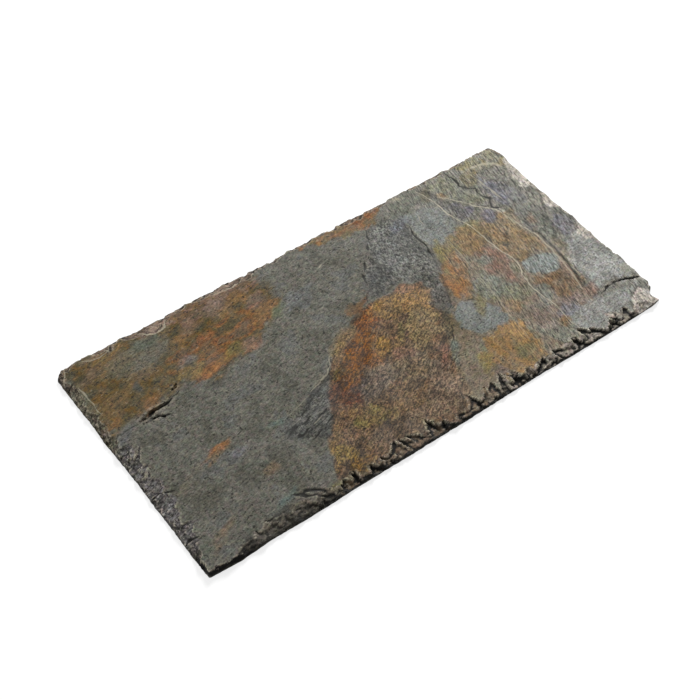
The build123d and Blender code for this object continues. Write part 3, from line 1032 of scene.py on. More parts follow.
@dataclass(frozen=True)
class Grain:
    """Streaks of the cleavage, where a note of the mesh says so or, with no note, everywhere.

    They have a turn in degrees from the tile's length, a length, width and thickness, and a depth of tone.
    The speckle is the share of the even grain that lies over them.
    """

    turn: float
    size: tuple[float, float, float]
    depth: float
    speckle: float
    note: str = ""


@dataclass(frozen=True)
class SlateFinish:
    """Colours and sizes of riven slate, which splits along its cleavage and is stained by iron.

    The real grain is finer than half a millimetre. Its speckle, streaks and pits are drawn coarser here, so
    that they still show.
    """

    tail_greys: str = "#555348 #5c5e53 #69625a #5b5d51 #6b675b #5e5e58"
    head_greys: str = "#6a695f #757369 #7d7972 #727267 #7e7b71"
    bed_greys: str = "#5a584f #68665d #605f55"
    bed_rust: str = "#6f5a40"
    dark_grain: str = "#33322d"
    pale_grain: str = "#a09d92"
    # Near black, for dirt and painted shade in the crevices and dark rims of the breaks, on the walls and in
    # hollows.
    dirt_and_shade: str = "#100f0d"
    rim: str = "#c3bba8"
    # The pale line is a painted highlight on lit step rims, with paler broken stone; the dark line is
    # painted shade in cracks and on shaded step flanks, and it also colours the pits.
    pale_line: str = "#b9b19b"
    dark_line: str = "#16150f"
    roughness: Range = (0.66, 0.84)
    specular: float = 0.35
    bump_height: float = 0.5
    bump_strength: float = 0.85
    head_start: float = 30.0
    head_blend: float = 160.0
    head_stray: float = 45.0
    broad_tone: float = 0.08
    fine_tone: float = 0.13
    rusty_tone: float = 0.14
    flake_tone: float = 0.28
    head_tone: float = 0.18
    floor_tone: float = 0.28
    scale_tone: float = 0.35
    tone_limits: Range = (0.5, 1.6)
    flake_richness: float = 0.28
    worn_share: float = 0.25
    sunk_share: float = 0.5
    break_reach: float = 30.0
    break_fade: float = 10.0
    break_stray: float = 5.0
    stray_size: float = 30.0
    tint_size: Point = (24.0, 12.0)
    feather_size: Point = (20.0, 6.0)
    broken_size: float = 10.0
    mottle: Cloud = Cloud(26.0, 6.0, 0.6)
    speckle: Cloud = Cloud(1.6, 2.0, 0.7)
    rust: Cloud = Cloud(70.0, 7.0, 0.62)
    hues: Cloud = Cloud(4.0, 3.0, 0.7)
    pits: Cloud = Cloud(2.8, 1.0, 0.5)
    plain_grain: Grain = Grain(Cleavage.TAIL.value, (4.2, 1.6, 1.6), 2.4, 0.9)
    grains: tuple[Grain, ...] = (
        Grain(Cleavage.FLAKE.value, (4.6, 1.5, 1.5), 5.0, 0.9, "flake"),
        Grain(Cleavage.HEAD.value, (6.5, 1.3, 1.3), 4.5, 0.55, "head"),
        Grain(Cleavage.HEAD.value, (3.6, 1.8, 1.8), 4.8, 1.0, "floor"),
        Grain(14.0, (6.0, 1.4, 1.4), 4.8, 0.9, "shards"),
        Grain(0.0, (26.0, 26.0, 0.9), 2.6, 1.0, "wall"),
    )

    def paint(self, x: Field, y: Field, notes: dict[str, Field], half: Point) -> Field:
        """Paints the stone place by place.

        Args:
            x: Places along the tile.
            y: Places across the tile.
            notes: What the stone's shape gives for each place.
            half: Half the tile's length and width.

        Returns:
            A linear colour at each place.
        """
        mottle = fractal(x, y, self.mottle.size, 81, 5)
        stray = self.head_stray * fractal(x, y, 60, 82)
        headward = eased((x + stray - self.head_start) / self.head_blend)
        colour = laid(palette(self.tail_greys, mottle), headward, palette(self.head_greys, mottle))
        colour = self._stain(colour, x, y, STAINS)
        rusty = PATCH["orange_field"].share(x, y, 8)
        clouds = self.broad_tone * fractal(x, y, 12, 88)
        clouds += (self.fine_tone + self.rusty_tone * rusty) * fractal(x, y, 5, 92, 2)
        clouds += self.flake_tone * notes["flake"] * Cleavage.FLAKE.drawn(x, y, 9, 4.5, 89)
        clouds += self.head_tone * notes["head"] * Cleavage.HEAD.drawn(x, y, 11, 3.6, 90)
        clouds += self.floor_tone * notes["floor"] * fractal(x, y, 5, 91)
        clouds -= self.scale_tone * notes["scales"]
        colour = colour * np.clip(1 + clouds, *self.tone_limits)[:, None]
        grey = colour.mean(axis=1, keepdims=True)
        colour = grey + (1 + self.flake_richness * notes["flake"])[:, None] * (colour - grey)
        colour = self._break(colour, x, y, notes, half)
        colour = self._stain(colour, x, y, FLAKES)
        # Raised places are painted paler, and hollows are darkened with dirt and painted shade.
        worn = np.clip((notes["relief"] - 0.06) / 0.4, 0, 1)
        sunk = np.clip((-notes["relief"] - 0.06) / 0.4, 0, 1)
        colour = tinted(colour, self.worn_share * worn, self.pale_line)
        return tinted(colour, self.sunk_share * sunk, self.dirt_and_shade)

    def _stain(self, colour: Field, x: Field, y: Field, stains: tuple[Patch | Spot, ...]) -> Field:
        """Lays patches and spots over the stone.

        Args:
            colour: The colour so far.
            x: Places along the tile.
            y: Places across the tile.
            stains: The patches and spots, in order.

        Returns:
            The stained colour.
        """
        bent_x, bent_y = bent(x, y, ((3.0, 30), (1.6, 12)), (71, 73, 72, 74))
        stray = fractal(x, y, self.stray_size, 83, 5)
        broken = eased((fractal(x, y, self.broken_size, 84) + 0.5) / 0.8)
        tints = {run: run.drawn(x, y, *self.tint_size, 85) for run in Cleavage}
        feathers = {run: 0.6 * stray + 0.5 * run.drawn(x, y, *self.feather_size, 86) for run in Cleavage}
        for stain in stains:
            rim, reach, gaps = stain.edge.value
            if isinstance(stain, Spot):
                reach = min(reach, 0.8 * min(stain.reach))
            along = stain.middle[0]
            headward = Cleavage.FLAKE if along < HEAD_START else Cleavage.HEAD
            run = Cleavage.TAIL if along < FLAKE_START else headward
            depth = stain.depth(bent_x, bent_y) + reach * feathers[run]
            share = stain.strength * eased(0.5 + depth / (2 * rim)) * (1 - gaps * (1 - broken))
            at = np.flatnonzero(share > 0.004)
            colour[at] = laid(colour[at], share[at], palette(stain.tints, tints[run][at]))
        return colour

    def _break(self, colour: Field, x: Field, y: Field, notes: dict[str, Field], half: Point) -> Field:
        """Colours the fresh breaks along the dressed edges, with dirt and painted shade in their crevices.

        Args:
            colour: The colour so far.
            x: Places along the tile.
            y: Places across the tile.
            notes: What the stone's shape gives for each place.
            half: Half the tile's length and width.

        Returns:
            The colour with its breaks.
        """
        facet = 0.8 * (notes["facet"] - 0.5) + 0.5 * fractal(x, y, 9, 87)
        ragged = fractal(x, y, 7, 93, 3)
        for broken in BREAKS:
            inward, along = broken.side.measured(x, y, half)
            along = along + self.break_stray * ragged
            within = np.minimum(along - broken.stretch[0], broken.stretch[1] - along)
            near = eased((self.break_reach - inward) / self.break_fade) * eased(within / 6 + 0.5)
            dressing = near * notes["dressing"]
            colour = laid(colour, broken.cover * dressing, palette(broken.tints, facet))
            colour = tinted(colour, broken.rims * near * notes["arris"], self.rim)
            # A dark rim along the edge is painted shade, and the crevices are darkened with dirt and painted
            # shade.
            shade = eased((broken.shade - notes["rim"] + 1.5 * ragged) / 1.5) * dressing
            dark = broken.dirt_and_shade * near * np.maximum(notes["crevice"], shade)
            colour = tinted(colour, dark, self.dirt_and_shade)
        return colour

    def material(self) -> bpy.types.Material:
        """Builds the stone's material."""
        return SlateNodes(self).build()


class SlateNodes:
    """The node material of the stone, for a mesh that carries the tile's paint and notes."""

    def __init__(self, finish: SlateFinish) -> None:
        """Starts the material with the patterns and notes that its layers share.

        Args:
            finish: The stone's colours and sizes.
        """
        # Slate is split, never ground, so its face is matt and shows the grain of its cleavage. That grain
        # is faint on the plain stone of the tail, and coarse where a flake has torn away.
        self.g = Graph(bpy.data.materials.new("weathered_slate"))
        self.finish = finish
        self.place = self.g.add("ShaderNodeTexCoord", {}, "Object")
        self.clouds = {}
        for name in ("mottle", "speckle", "rust", "hues", "pits"):
            cloud = getattr(finish, name)
            inputs = {"Vector": self.place, "Scale": 1 / (cloud.size * MM)}
            inputs |= {"Detail": cloud.detail, "Roughness": cloud.roughness}
            out = "Color" if name == "hues" else "Fac"
            self.clouds[name] = self.g.add("ShaderNodeTexNoise", inputs, out)
        self.notes = {}
        for name in NOTES:
            self.notes[name] = self.g.add("ShaderNodeAttribute", {}, "Fac", attribute_name=name)

    def streaks(self, grain: Grain) -> Any:
        """Draws a noise out along the cleavage.

        Args:
            grain: The turn and size of its streaks.

        Returns:
            A value about 0.5.
        """
        size = [side * MM for side in grain.size]
        inputs = {"Vector": self.place, "Rotation": (0, 0, radians(grain.turn)), "Scale": size}
        turned = self.g.add("ShaderNodeMapping", inputs, vector_type="TEXTURE")
        inputs = {"Vector": turned, "Scale": 1.0, "Detail": 3.0, "Roughness": 0.62}
        return self.g.add("ShaderNodeTexNoise", inputs)

    def stained(self, colour: Any, tint: str, value: Any, start: float, full: float, most: Any) -> Any:
        """Lays a tint over the stone where a value says so.

        Args:
            colour: The colour so far.
            tint: The tint.
            value: The value that the tint follows.
            start: The value where the tint starts to show.
            full: The value where it shows most.
            most: How much of it shows there.

        Returns:
            The stained colour.
        """
        inputs = {"Value": value, "From Min": start, "From Max": full, "To Max": most}
        share = self.g.add("ShaderNodeMapRange", inputs, interpolation_type="SMOOTHSTEP")
        return self.g.add("ShaderNodeMix", {0: share, 6: colour, 7: linear(tint)}, 2, data_type="RGBA")

    def build(self) -> bpy.types.Material:
        """Lays the stone's layers over each other.

        Returns:
            The material.
        """
        add = self.g.add
        paint = add("ShaderNodeAttribute", {}, "Color", attribute_name="stone")
        colour = add("ShaderNodeMix", {0: self.notes["bed"], 6: paint, 7: self.bed()}, 2, data_type="RGBA")
        colour, height = self.grained(colour)
        colour = self.lined(colour)
        finish = self.finish
        inputs = {"Strength": finish.bump_strength, "Distance": finish.bump_height * MM, "Height": height}
        bump = add("ShaderNodeBump", inputs, "Normal")
        smoothest, roughest = finish.roughness
        inputs = {"Value": self.clouds["mottle"], "From Min": 0.35, "From Max": 0.65}
        inputs |= {"To Min": smoothest, "To Max": roughest}
        rough = add("ShaderNodeMapRange", inputs, interpolation_type="SMOOTHSTEP")
        inputs = {"Base Color": colour, "Roughness": rough, "Normal": bump}
        inputs |= {"Specular IOR Level": finish.specular}
        shader = add("ShaderNodeBsdfPrincipled", inputs)
        add("ShaderNodeOutputMaterial", {"Surface": shader})
        return self.g.owner

    def bed(self) -> Any:
        """Colours the underside: plain stone with a few clouds of rust.

        Returns:
            The colour.
        """
        tints = enumerate(self.finish.bed_greys.split())
        stops = tuple((0.36 + 0.14 * number, tint) for number, tint in tints)
        plain = self.g.add("ShaderNodeValToRGB", {"Fac": self.clouds["mottle"]}, stops=stops)
        return self.stained(plain, self.finish.bed_rust, self.clouds["rust"], 0.52, 0.66, 0.7)

    def grained(self, colour: Any) -> tuple[Any, Any]:
        """Speckles and streaks the stone with its fine grain.

        Args:
            colour: The colour so far.

        Returns:
            The speckled colour, and the grain's height.
        """
        add, finish = self.g.add, self.finish
        plain = finish.plain_grain
        lines, depth, speckle = self.streaks(plain), plain.depth, plain.speckle
        for grain in finish.grains:
            share = self.notes[grain.note]
            lines = add("ShaderNodeMix", {0: share, 2: lines, 3: self.streaks(grain)})
            depth = add("ShaderNodeMix", {0: share, 2: depth, 3: grain.depth})
            speckle = add("ShaderNodeMix", {0: share, 2: speckle, 3: grain.speckle})
        even = add("ShaderNodeMath", {0: self.clouds["speckle"], 1: 0.5}, operation="SUBTRACT")
        height = add("ShaderNodeMath", {0: even, 1: speckle, 2: lines}, operation="MULTIPLY_ADD")
        light = add("ShaderNodeMath", {0: height, 1: 0.5}, operation="SUBTRACT")
        light = add("ShaderNodeMath", {0: light, 1: depth, 2: 1.0}, operation="MULTIPLY_ADD")
        light = add("ShaderNodeMath", {0: light, 1: 0.3}, operation="MAXIMUM")
        colour = add("ShaderNodeVectorMath", {0: colour, "Scale": light}, operation="SCALE")
        inputs = {0: self.clouds["hues"], 1: 3 * (0.44,), 2: 3 * (0.78,)}
        hues = add("ShaderNodeVectorMath", inputs, operation="MULTIPLY_ADD")
        colour = add("ShaderNodeVectorMath", {0: colour, 1: hues}, operation="MULTIPLY")
        colour = self.stained(colour, finish.dark_grain, lines, 0.38, 0.24, 0.6)
        colour = self.stained(colour, finish.pale_grain, lines, 0.6, 0.76, 0.4)
        inputs = {"Value": self.notes["head"], "To Min": 0.8, "To Max": 0.25}
        pitted = add("ShaderNodeMapRange", inputs, interpolation_type="SMOOTHSTEP")
        return self.stained(colour, finish.dark_line, self.clouds["pits"], 0.35, 0.29, pitted), height

    def lined(self, colour: Any) -> Any:
        """Draws the cracks and the rims of the cleavage steps.

        Args:
            colour: The colour so far.

        Returns:
            The colour with its lines.
        """
        # Pale lines lay a painted highlight, and dark lines a painted shade, over the rims of the steps and
        # the cracks.
        for tone, tint in ((Tone.PALE, self.finish.pale_line), (Tone.DARK, self.finish.dark_line)):
            gap = self.g.add("ShaderNodeMath", {0: self.notes[tone.gap]}, operation="ABSOLUTE")
            colour = self.stained(colour, tint, gap, 1.5, 0.4, self.notes[tone.value])
        return colour


@dataclass(frozen=True)
class Plates:
    """A set of thin cleavage plates: their height, spacing, rim and lean in plan, and their pattern."""

    height: float
    spacing: float
    rim: float
    lean: Point
    seed: int

    def relief(self, x: Field, y: Field) -> Field:
        """Gives the plates' height at each place."""
        lean_x, lean_y = self.lean
        return self.height * plates(x + lean_x * y, y + lean_y * x, self.spacing, self.rim, self.seed)


class MapRow(Enum):
    """Where a part of the stone starts on its map, as a share of the map from its foot up."""

    FACE = 0.53
    BED = 0.07
    ENDS = 0.039
    FRONT = 0.022
    BACK = 0.005


@dataclass
class RivenTile:
    """The stone: a slab of fine grid, draped over the solid, riven, lined and struck.

    Its sharp angle and the turns of its notch are in degrees.
    """

    node: str = "slate_tile"
    name: str = "riven_slate_tile"
    slot: str = "riven_slate"
    coarse_step: float = 1.35
    fine_step: float = 0.65
    fine_margin: float = 19.0
    wall_rings: int = 3
    triangles: int = 195_000
    least_height: float = 0.9
    layer: float = 1.9
    layer_share: float = 0.4
    chip_slope: float = 0.14
    chip_relief: float = 0.08
    riser: float = 26.0
    bed_relief: float = 0.35
    wall_relief: float = 0.6
    wall_inset: float = 0.3
    sharp_angle: float = 40.0
    seed: int = 7
    outline_rays: int = 3000
    pull_power: int = 8
    look_inward: float = 0.8
    missed_height: float = 1.5
    missed_upright: float = 0.5
    stray_margin: float = 4.0
    level: float = 0.993
    dressed_tilt: float = 0.03
    wear_cells: int = 4
    tail_margin: float = 18.0
    head_start: float = 85.0
    head_blend: float = 30.0
    plate_calm: float = 0.6
    far_gap: float = 9.0
    facet_rise: Range = (0.02, 0.16)
    facet_lean: Range = (-0.2, 0.2)
    sunk: float = 0.34
    swell: float = 0.14
    flake_relief: float = 0.16
    head_relief: float = 0.1
    floor_relief: float = 0.2
    scale_depth: float = 0.18
    cleaved: tuple[Plates, ...] = (
        Plates(0.2, 46.0, 3.0, (0.0, 0.0), 21),
        Plates(0.12, 21.0, 1.5, (0.4, 0.0), 22),
        Plates(0.06, 9.0, 1.0, (0.0, 0.3), 23),
    )
    map_margin: float = 0.05
    wall_slope: float = 0.12
    notch: tuple[Point, ...] = ((-47.5, 1.0), (-45.0, 0.978), (-43.0, 0.966), (-40.2, 1.0))
    finish: SlateFinish = field(default_factory=SlateFinish)

    def __post_init__(self) -> None:
        """Measures the solid and readies it for ray casts."""
        low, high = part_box(self.node)
        self.length, self.width, self.height = (high - low) / MM
        self.half = (self.length / 2, self.width / 2)
        self.columns, self.rows = (len(self._steps(side)) - 1 for side in (self.length, self.width))
        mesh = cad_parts[self.node].data
        corners = [v.co / MM for v in mesh.vertices]
        self.solid = BVHTree.FromPolygons(corners, [p.vertices[:] for p in mesh.polygons])

    def build(self) -> bpy.types.Object:
        """Makes the stone's mesh.

        Returns:
            The finished piece, riding on the tile's body.
        """
        mesh = self._slab()
        self._shape(mesh)
        piece = bpy.data.objects.new(self.name, mesh)
        bpy.context.scene.collection.objects.link(piece)
        self._thin(piece)
        self._unwrap(piece.data)
        piece.data.shade_smooth()
        piece.data.set_sharp_from_angle(angle=radians(self.sharp_angle))
        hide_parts(self.node)
        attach(piece, "root")
        return piece

    def dress(self, piece: bpy.types.Object) -> None:
        """Gives the stone its finish."""
        piece.data.materials.append(self.finish.material())

    def _steps(self, side: float) -> Field:
        """Spaces the grid's lines over a side, closer together along its ends.

        Args:
            side: The side's length.

        Returns:
            The lines' places from the middle of the side.
        """
        fine = round(self.fine_margin / self.fine_step)
        coarse = round((side - 2 * self.fine_margin) / self.coarse_step)
        inner = side / 2 - self.fine_margin
        ends = (0, fine, fine + coarse, 2 * fine + coarse)
        return np.interp(np.arange(ends[-1] + 1), ends, (-side / 2, -inner, inner, side / 2))

    def _slab(self) -> bpy.types.Mesh:
        """Makes a closed slab of fine grid, 1 high and 1 in both plan directions.

        Returns:
            The slab's mesh.
        """
        bm = bmesh.new()
        top = Matrix.Translation((0, 0, 1))
        bmesh.ops.create_grid(bm, x_segments=self.columns, y_segments=self.rows, size=0.5, matrix=top)
        copy = bmesh.ops.duplicate(bm, geom=bm.verts[:] + bm.edges[:] + bm.faces[:])["geom"]
        bed = [part for part in copy if isinstance(part, bmesh.types.BMVert)]
        bmesh.ops.translate(bm, verts=bed, vec=(0, 0, -1))
        bmesh.ops.reverse_faces(bm, faces=[part for part in copy if isinstance(part, bmesh.types.BMFace)])
        rims = [edge for edge in bm.edges if edge.is_boundary]
        walls = bmesh.ops.bridge_loops(bm, edges=rims)["edges"]
        bmesh.ops.subdivide_edges(bm, edges=walls, cuts=self.wall_rings)
        mesh = bpy.data.meshes.new(self.name)
        bm.to_mesh(mesh)
        bm.free()
        return mesh

    def _shape(self, mesh: bpy.types.Mesh) -> None:
        """Moves the slab's vertices to the stone's surface.

        Args:
            mesh: The slab.
        """
        places = np.empty(3 * len(mesh.vertices), np.float32)
        mesh.vertices.foreach_get("co", places)
        along, across, share = places.reshape(-1, 3).astype(float).T
        x, y = (
            np.interp((at + 0.5) * count, np.arange(count + 1), self._steps(side))
            for at, count, side in ((along, self.columns, self.length), (across, self.rows, self.width))
        )
        turn = np.arctan2(y / self.width, x / self.length)
        x, y, from_edge = self._plan(x, y, turn)

        grid = (self.rows + 1, self.columns + 1)
        count = grid[0] * grid[1]
        notes = self._face(*(values[:count].reshape(grid) for values in (x, y, from_edge)))
        face = np.zeros(len(x))
        face[:count] = notes.pop("height").ravel()
        rim = np.flatnonzero(from_edge[:count] < 0.01)
        wall = (share > 0) & (share < 1)
        face[wall] = np.interp(turn[wall], *self._in_order(turn[rim], face[rim]), period=2 * pi)
        bed = self._bed(x, y, from_edge)
        swell = self.wall_relief * 4 * share * (1 - share) * noise(x + 40 * share, y - 60 * share, 5, 31)
        outward = 1 + (swell - self.wall_inset) / np.maximum(np.hypot(x, y), 1)
        shaped = np.stack([x * outward, y * outward, bed + (face - bed) * share], axis=1)
        mesh.vertices.foreach_set("co", (shaped * MM).astype(np.float32).ravel())
        self._note(mesh, notes, x, y, share)

    def _note(self, mesh: bpy.types.Mesh, notes: dict[str, Field], x: Field, y: Field, share: Field) -> None:
        """Gives the mesh its paint and what its material needs to know of each place.

        Args:
            mesh: The stone's mesh.
            notes: What the face gives for each place on its grid.
            x: The vertices' places along the tile.
            y: Their places across the tile.
            share: Their share of the way up from the bed to the face.
        """
        wall, seen = (share > 0) & (share < 1), share > 0
        spread = {name: np.zeros(len(x)) for name in notes}
        for name, values in notes.items():
            spread[name][: values.size] = values.ravel()
            spread[name][wall] = {"dressing": 1.0, "facet": 0.4, "wall": 1.0}.get(name, 0.0)
        # The walls are darkened in patches, as painted shade and dirt.
        spread["crevice"][wall] = eased((fractal(x[wall], y[wall], 14, 96) + 0.55) / 0.5)
        paint = np.ones((len(x), 4))
        shown = {name: values[seen] for name, values in spread.items()}
        paint[seen, :3] = self.finish.paint(x[seen], y[seen], shown, self.half)
        stone = mesh.attributes.new("stone", "FLOAT_COLOR", "POINT")
        stone.data.foreach_set("color", paint.astype(np.float32).ravel())
        spread["bed"] = 1 - share
        for name in NOTES:
            layer = mesh.attributes.new(name, "FLOAT", "POINT")
            layer.data.foreach_set("value", spread[name].astype(np.float32))

    def _in_order(self, turn: Field, values: Field) -> tuple[Field, Field]:
        """Sorts values along the outline by their turn."""
        order = np.argsort(turn)
        return turn[order], values[order]

    def _plan(self, x: Field, y: Field, turn: Field) -> tuple[Field, Field, Field]:
        """Pulls the square slab in to the solid's ragged outline.

        Args:
            x: Places along the square slab.
            y: Places across it.
            turn: Their direction from the middle of a slab as wide as it is long.

        Returns:
            The places along and across the stone, and their distance from its outline.
        """
        half = np.array(self.half)
        turns = np.linspace(-pi, pi, self.outline_rays)
        rim = np.stack([np.cos(turns), np.sin(turns)])
        rim = rim / np.abs(rim).max(axis=0) * half[:, None]
        shares = []
        for rim_x, rim_y in rim.T:
            start = Vector((1.2 * rim_x, 1.2 * rim_y, 1))
            hit = self.solid.ray_cast(start, Vector((-rim_x, -rim_y, 0)).normalized())[0]
            shares.append(hit.to_2d().length / np.hypot(rim_x, rim_y))
        bites = 0.5 * np.abs(noise(*rim, 9, 3)) + 0.5 * np.abs(noise(*rim, 3.5, 4))
        shares = np.minimum(shares, np.interp(np.degrees(turns), *zip(*self.notch))) - bites / np.hypot(*rim)
        reach = np.maximum(np.abs(x) / half[0], np.abs(y) / half[1])
        pull = 1 - (1 - np.interp(turn, turns, shares)) * reach**self.pull_power
        from_edge = np.minimum(half[0] - np.abs(x), half[1] - np.abs(y))
        return x * pull, y * pull, from_edge

    def _face(self, x: Field, y: Field, from_edge: Field) -> dict[str, Field]:
        """Works out the riven face and its dressed edges.

        Args:
            x: Places along the tile.
            y: Places across the tile.
            from_edge: Their distance from the outline.

        Returns:
            The height of the face, and what its finish needs to know of each place.
        """
        stray = np.clip(from_edge / self.stray_margin, 0, 1)
        bent_x, bent_y = bent(x, y, ((1.5, 9), (0.7, 3.3)), (11, 12, 13, 14))
        look_x, look_y = x + stray * (bent_x - x), y + stray * (bent_y - y)
        inward = 1 - self.look_inward / np.maximum(np.hypot(x, y), 1)
        solid, upright = self._solid_height(look_x * inward, look_y * inward)
        dressing = np.clip((self.level - upright) / self.dressed_tilt, 0, 1)
        gentle = blurred(blurred(solid, self.wear_cells), self.wear_cells)
        for points in WORN_BANKS:
            worn = eased(1.5 - np.abs(trace(points, x, y)[0]) / BANK_WIDTH)
            solid = solid + worn * (1 - dressing) * (gentle - solid)
        parts = self._parts(look_x, look_y)
        flake, floor, ribs = (parts[name] for name in ("flake", "floor", "ribs"))
        head = parts["head"] * eased((x - self.head_start) / self.head_blend)
        scales = np.maximum(
            0.5 * flake * Cleavage.FLAKE.seams(x, y, 11, 6, 94), ribs * Cleavage.HEAD.seams(x, y, 12, 5, 95)
        )
        riven = (
            sum(split.relief(x, y) for split in self.cleaved)
            + self.swell * noise(x, y, 80, 24)
            + self.flake_relief * flake * Cleavage.FLAKE.drawn(x, y, 10, 4, 26)
            + self.head_relief * head * Cleavage.HEAD.drawn(x, y, 16, 4.5, 27)
            + self.floor_relief * floor * fractal(x, y, 4.5, 28, 2)
            - self.scale_depth * scales
        )
        height = solid - self.sunk + riven * (1 - 0.6 * dressing)
        marks, rise = self._lines(x, y)
        height = height + rise
        struck, facet = self._strike(x, y, height)
        dressing = np.maximum(dressing, eased((height - struck) / 0.3))
        layers = (struck + 0.5 * noise(x, y, 9, 43)) / self.layer
        steps = self.layer * (np.floor(layers) + eased(3.0 * (layers % 1) - 1.0))
        height = struck + self.layer_share * dressing * (steps - layers * self.layer)
        rough = self.chip_slope * chips(x, y, 5, 44) + self.chip_relief * noise(x, y, 2.4, 47)
        height = height + dressing * rough
        height = np.clip(height, self.least_height, self.height)
        bulge = height - blurred(height, 1)
        hooked = eased((noise(x, y, 8, 48) + 0.7) / 0.6)
        return {
            "height": height,
            "dressing": dressing,
            "facet": facet,
            "relief": (height - blurred(height, 2)) * (1 - dressing),
            "arris": eased((bulge - 0.06) / 0.3) * np.clip(2 * blurred(dressing, 2), 0, 1),
            # Places well below their neighbours, which are darkened later as dirt and painted shade.
            "crevice": eased((highest(height, 2) - height - 0.7) / 0.5) * dressing * hooked,
            "flake": flake * (1 - dressing),
            "floor": floor * (1 - dressing),
            "scales": scales * (1 - dressing),
            "head": head * (1 - dressing),
            "shards": np.maximum(parts["torn"], dressing * eased((self.tail_margin - self.half[0] - x) / 4)),
            "wall": np.zeros_like(x),
            "rim": from_edge,
            **marks,
        }

    def _parts(self, x: Field, y: Field) -> dict[str, Field]:
        """Tells the parts of the face apart.

        Args:
            x: Places along the tile.
            y: Places across the tile.

        Returns:
            How much each place belongs to each part, where the plates of the head count as little of it.
        """
        head = np.ones_like(x)
        for plate in ("blue_plate", "blue_hollow", "pale_plate", "grey_foot"):
            head = head * (1 - self.plate_calm * PATCH[plate].share(x, y, 4))
        return {
            "flake": PATCH["rust_flake"].share(x, y, 6, 0.4),
            "floor": PATCH["granular_floor"].share(x, y, 6, 0.4),
            "torn": PATCH["torn_floor"].share(x, y, 5, 0.4),
            "ribs": PATCH["brown_rib"].share(x, y, 6),
            "head": head,
        }

    def _lines(self, x: Field, y: Field) -> tuple[dict[str, Field], Field]:
        """Draws the cracks and the rims of the cleavage steps.

        Args:
            x: Places along the tile.
            y: Places across the tile.

        Returns:
            Each tone's strength near its lines and the way to them in half widths, and the lines' rise.
        """
        marks = {tone.value: np.zeros_like(x) for tone in Tone}
        marks |= {tone.gap: np.full(x.shape, self.far_gap) for tone in Tone}
        rise = np.zeros_like(x)
        bent_x, bent_y = bent(x, y, ((0.8, 7), (0.35, 2.6)), (51, 52, 53, 54))
        uneven = 1 + 0.6 * noise(x, y, 6, 55) + 0.5 * noise(x, y, 19, 56)
        for line in LINES:
            gap, share = trace(line.points, bent_x, bent_y)
            taper = np.clip(5 * share * (1 - share) + 0.25, 0, 1)
            half = line.width * taper * np.clip(uneven, 0.3, 2)
            rise += line.rise * eased(half + 0.5 - np.abs(gap)) * np.clip(1.3 * taper, 0, 1)
            near = line.strength * eased((half + 2.2 - np.abs(gap)) / 0.8) * np.clip(uneven, 0.75, 1)
            gap = gap / np.maximum(half, 0.25)
            closer = (np.abs(gap) < np.abs(marks[line.tone.gap])) & (near > 0)
            for name, values in ((line.tone.value, near), (line.tone.gap, gap)):
                marks[name] = np.where(closer, values, marks[name])
        return marks, rise

    def _strike(self, x: Field, y: Field, height: Field) -> tuple[Field, Field]:
        """Strikes facets off the edges, as the dressing knife does.

        Args:
            x: Places along the tile.
            y: Places across the tile.
            height: The height before the blows.

        Returns:
            The height after them, and a share from 0 to 1 that is the same all over a facet.
        """
        chance = np.random.default_rng(self.seed)
        struck, facet = height.copy(), np.full(x.shape, 0.5)
        bent_x, bent_y = bent(x, y, ((1.2, 7), (0.5, 2.8)), (41, 45, 42, 46))
        for blows in DRESSING:
            inward, along = blows.side.measured(bent_x, bent_y, self.half)
            band = np.nonzero(inward < 1.3 * blows.reach[1])
            inward, along = np.maximum(inward[band], 0), along[band]
            left, tint = struck[band], facet[band]
            for middle in chance.uniform(*blows.stretch, blows.count):
                half_width, reach = chance.uniform(*blows.half_width), chance.uniform(*blows.reach)
                floor, skew = chance.uniform(*blows.floor), chance.uniform(*blows.skew)
                rise, lean = chance.uniform(*self.facet_rise), chance.uniform(*self.facet_lean)
                across = along - middle + skew * inward
                outside = (inward / reach) ** 1.2 + np.abs(across / half_width) ** 1.15 - 1
                cut = floor + rise * inward + lean * across + self.riser * np.maximum(outside, 0)
                tint = np.where(cut < left, chance.uniform(), tint)
                left = np.minimum(cut, left)
            struck[band], facet[band] = left, tint
        return struck, facet

    def _solid_height(self, x: Field, y: Field) -> tuple[Field, Field]:
        """Looks straight down on the solid.

        Args:
            x: Places along the tile.
            y: Places across the tile.

        Returns:
            The solid's height, and how upright its face stands, from 0 to 1.
        """
        down, above = Vector((0, 0, -1)), 2 * self.height
        heights, uprights = [], []
        for place_x, place_y in zip(x.flat, y.flat):
            hit, normal, _, _ = self.solid.ray_cast(Vector((place_x, place_y, above)), down)
            heights.append(hit.z if hit else self.missed_height)
            uprights.append(normal.z if hit else self.missed_upright)
        return np.array(heights).reshape(x.shape), np.abs(uprights).reshape(x.shape)

    def _bed(self, x: Field, y: Field, from_edge: Field) -> Field:
        """Works out the underside, riven too but nearly flat, and lifted a little at its edges.

        Args:
            x: Places along the tile.
            y: Places across the tile.
            from_edge: Their distance from the outline.

        Returns:
            The height of the underside.
        """
        riven = plates(x, y, 38, 1.5, 61) + 0.6 * plates(x, y, 15, 1.2, 62)
        lifted = eased(1 - from_edge / 5) * (0.5 + 0.5 * noise(x, y, 7, 63))
        return self.bed_relief * (riven / 1.6 + lifted)

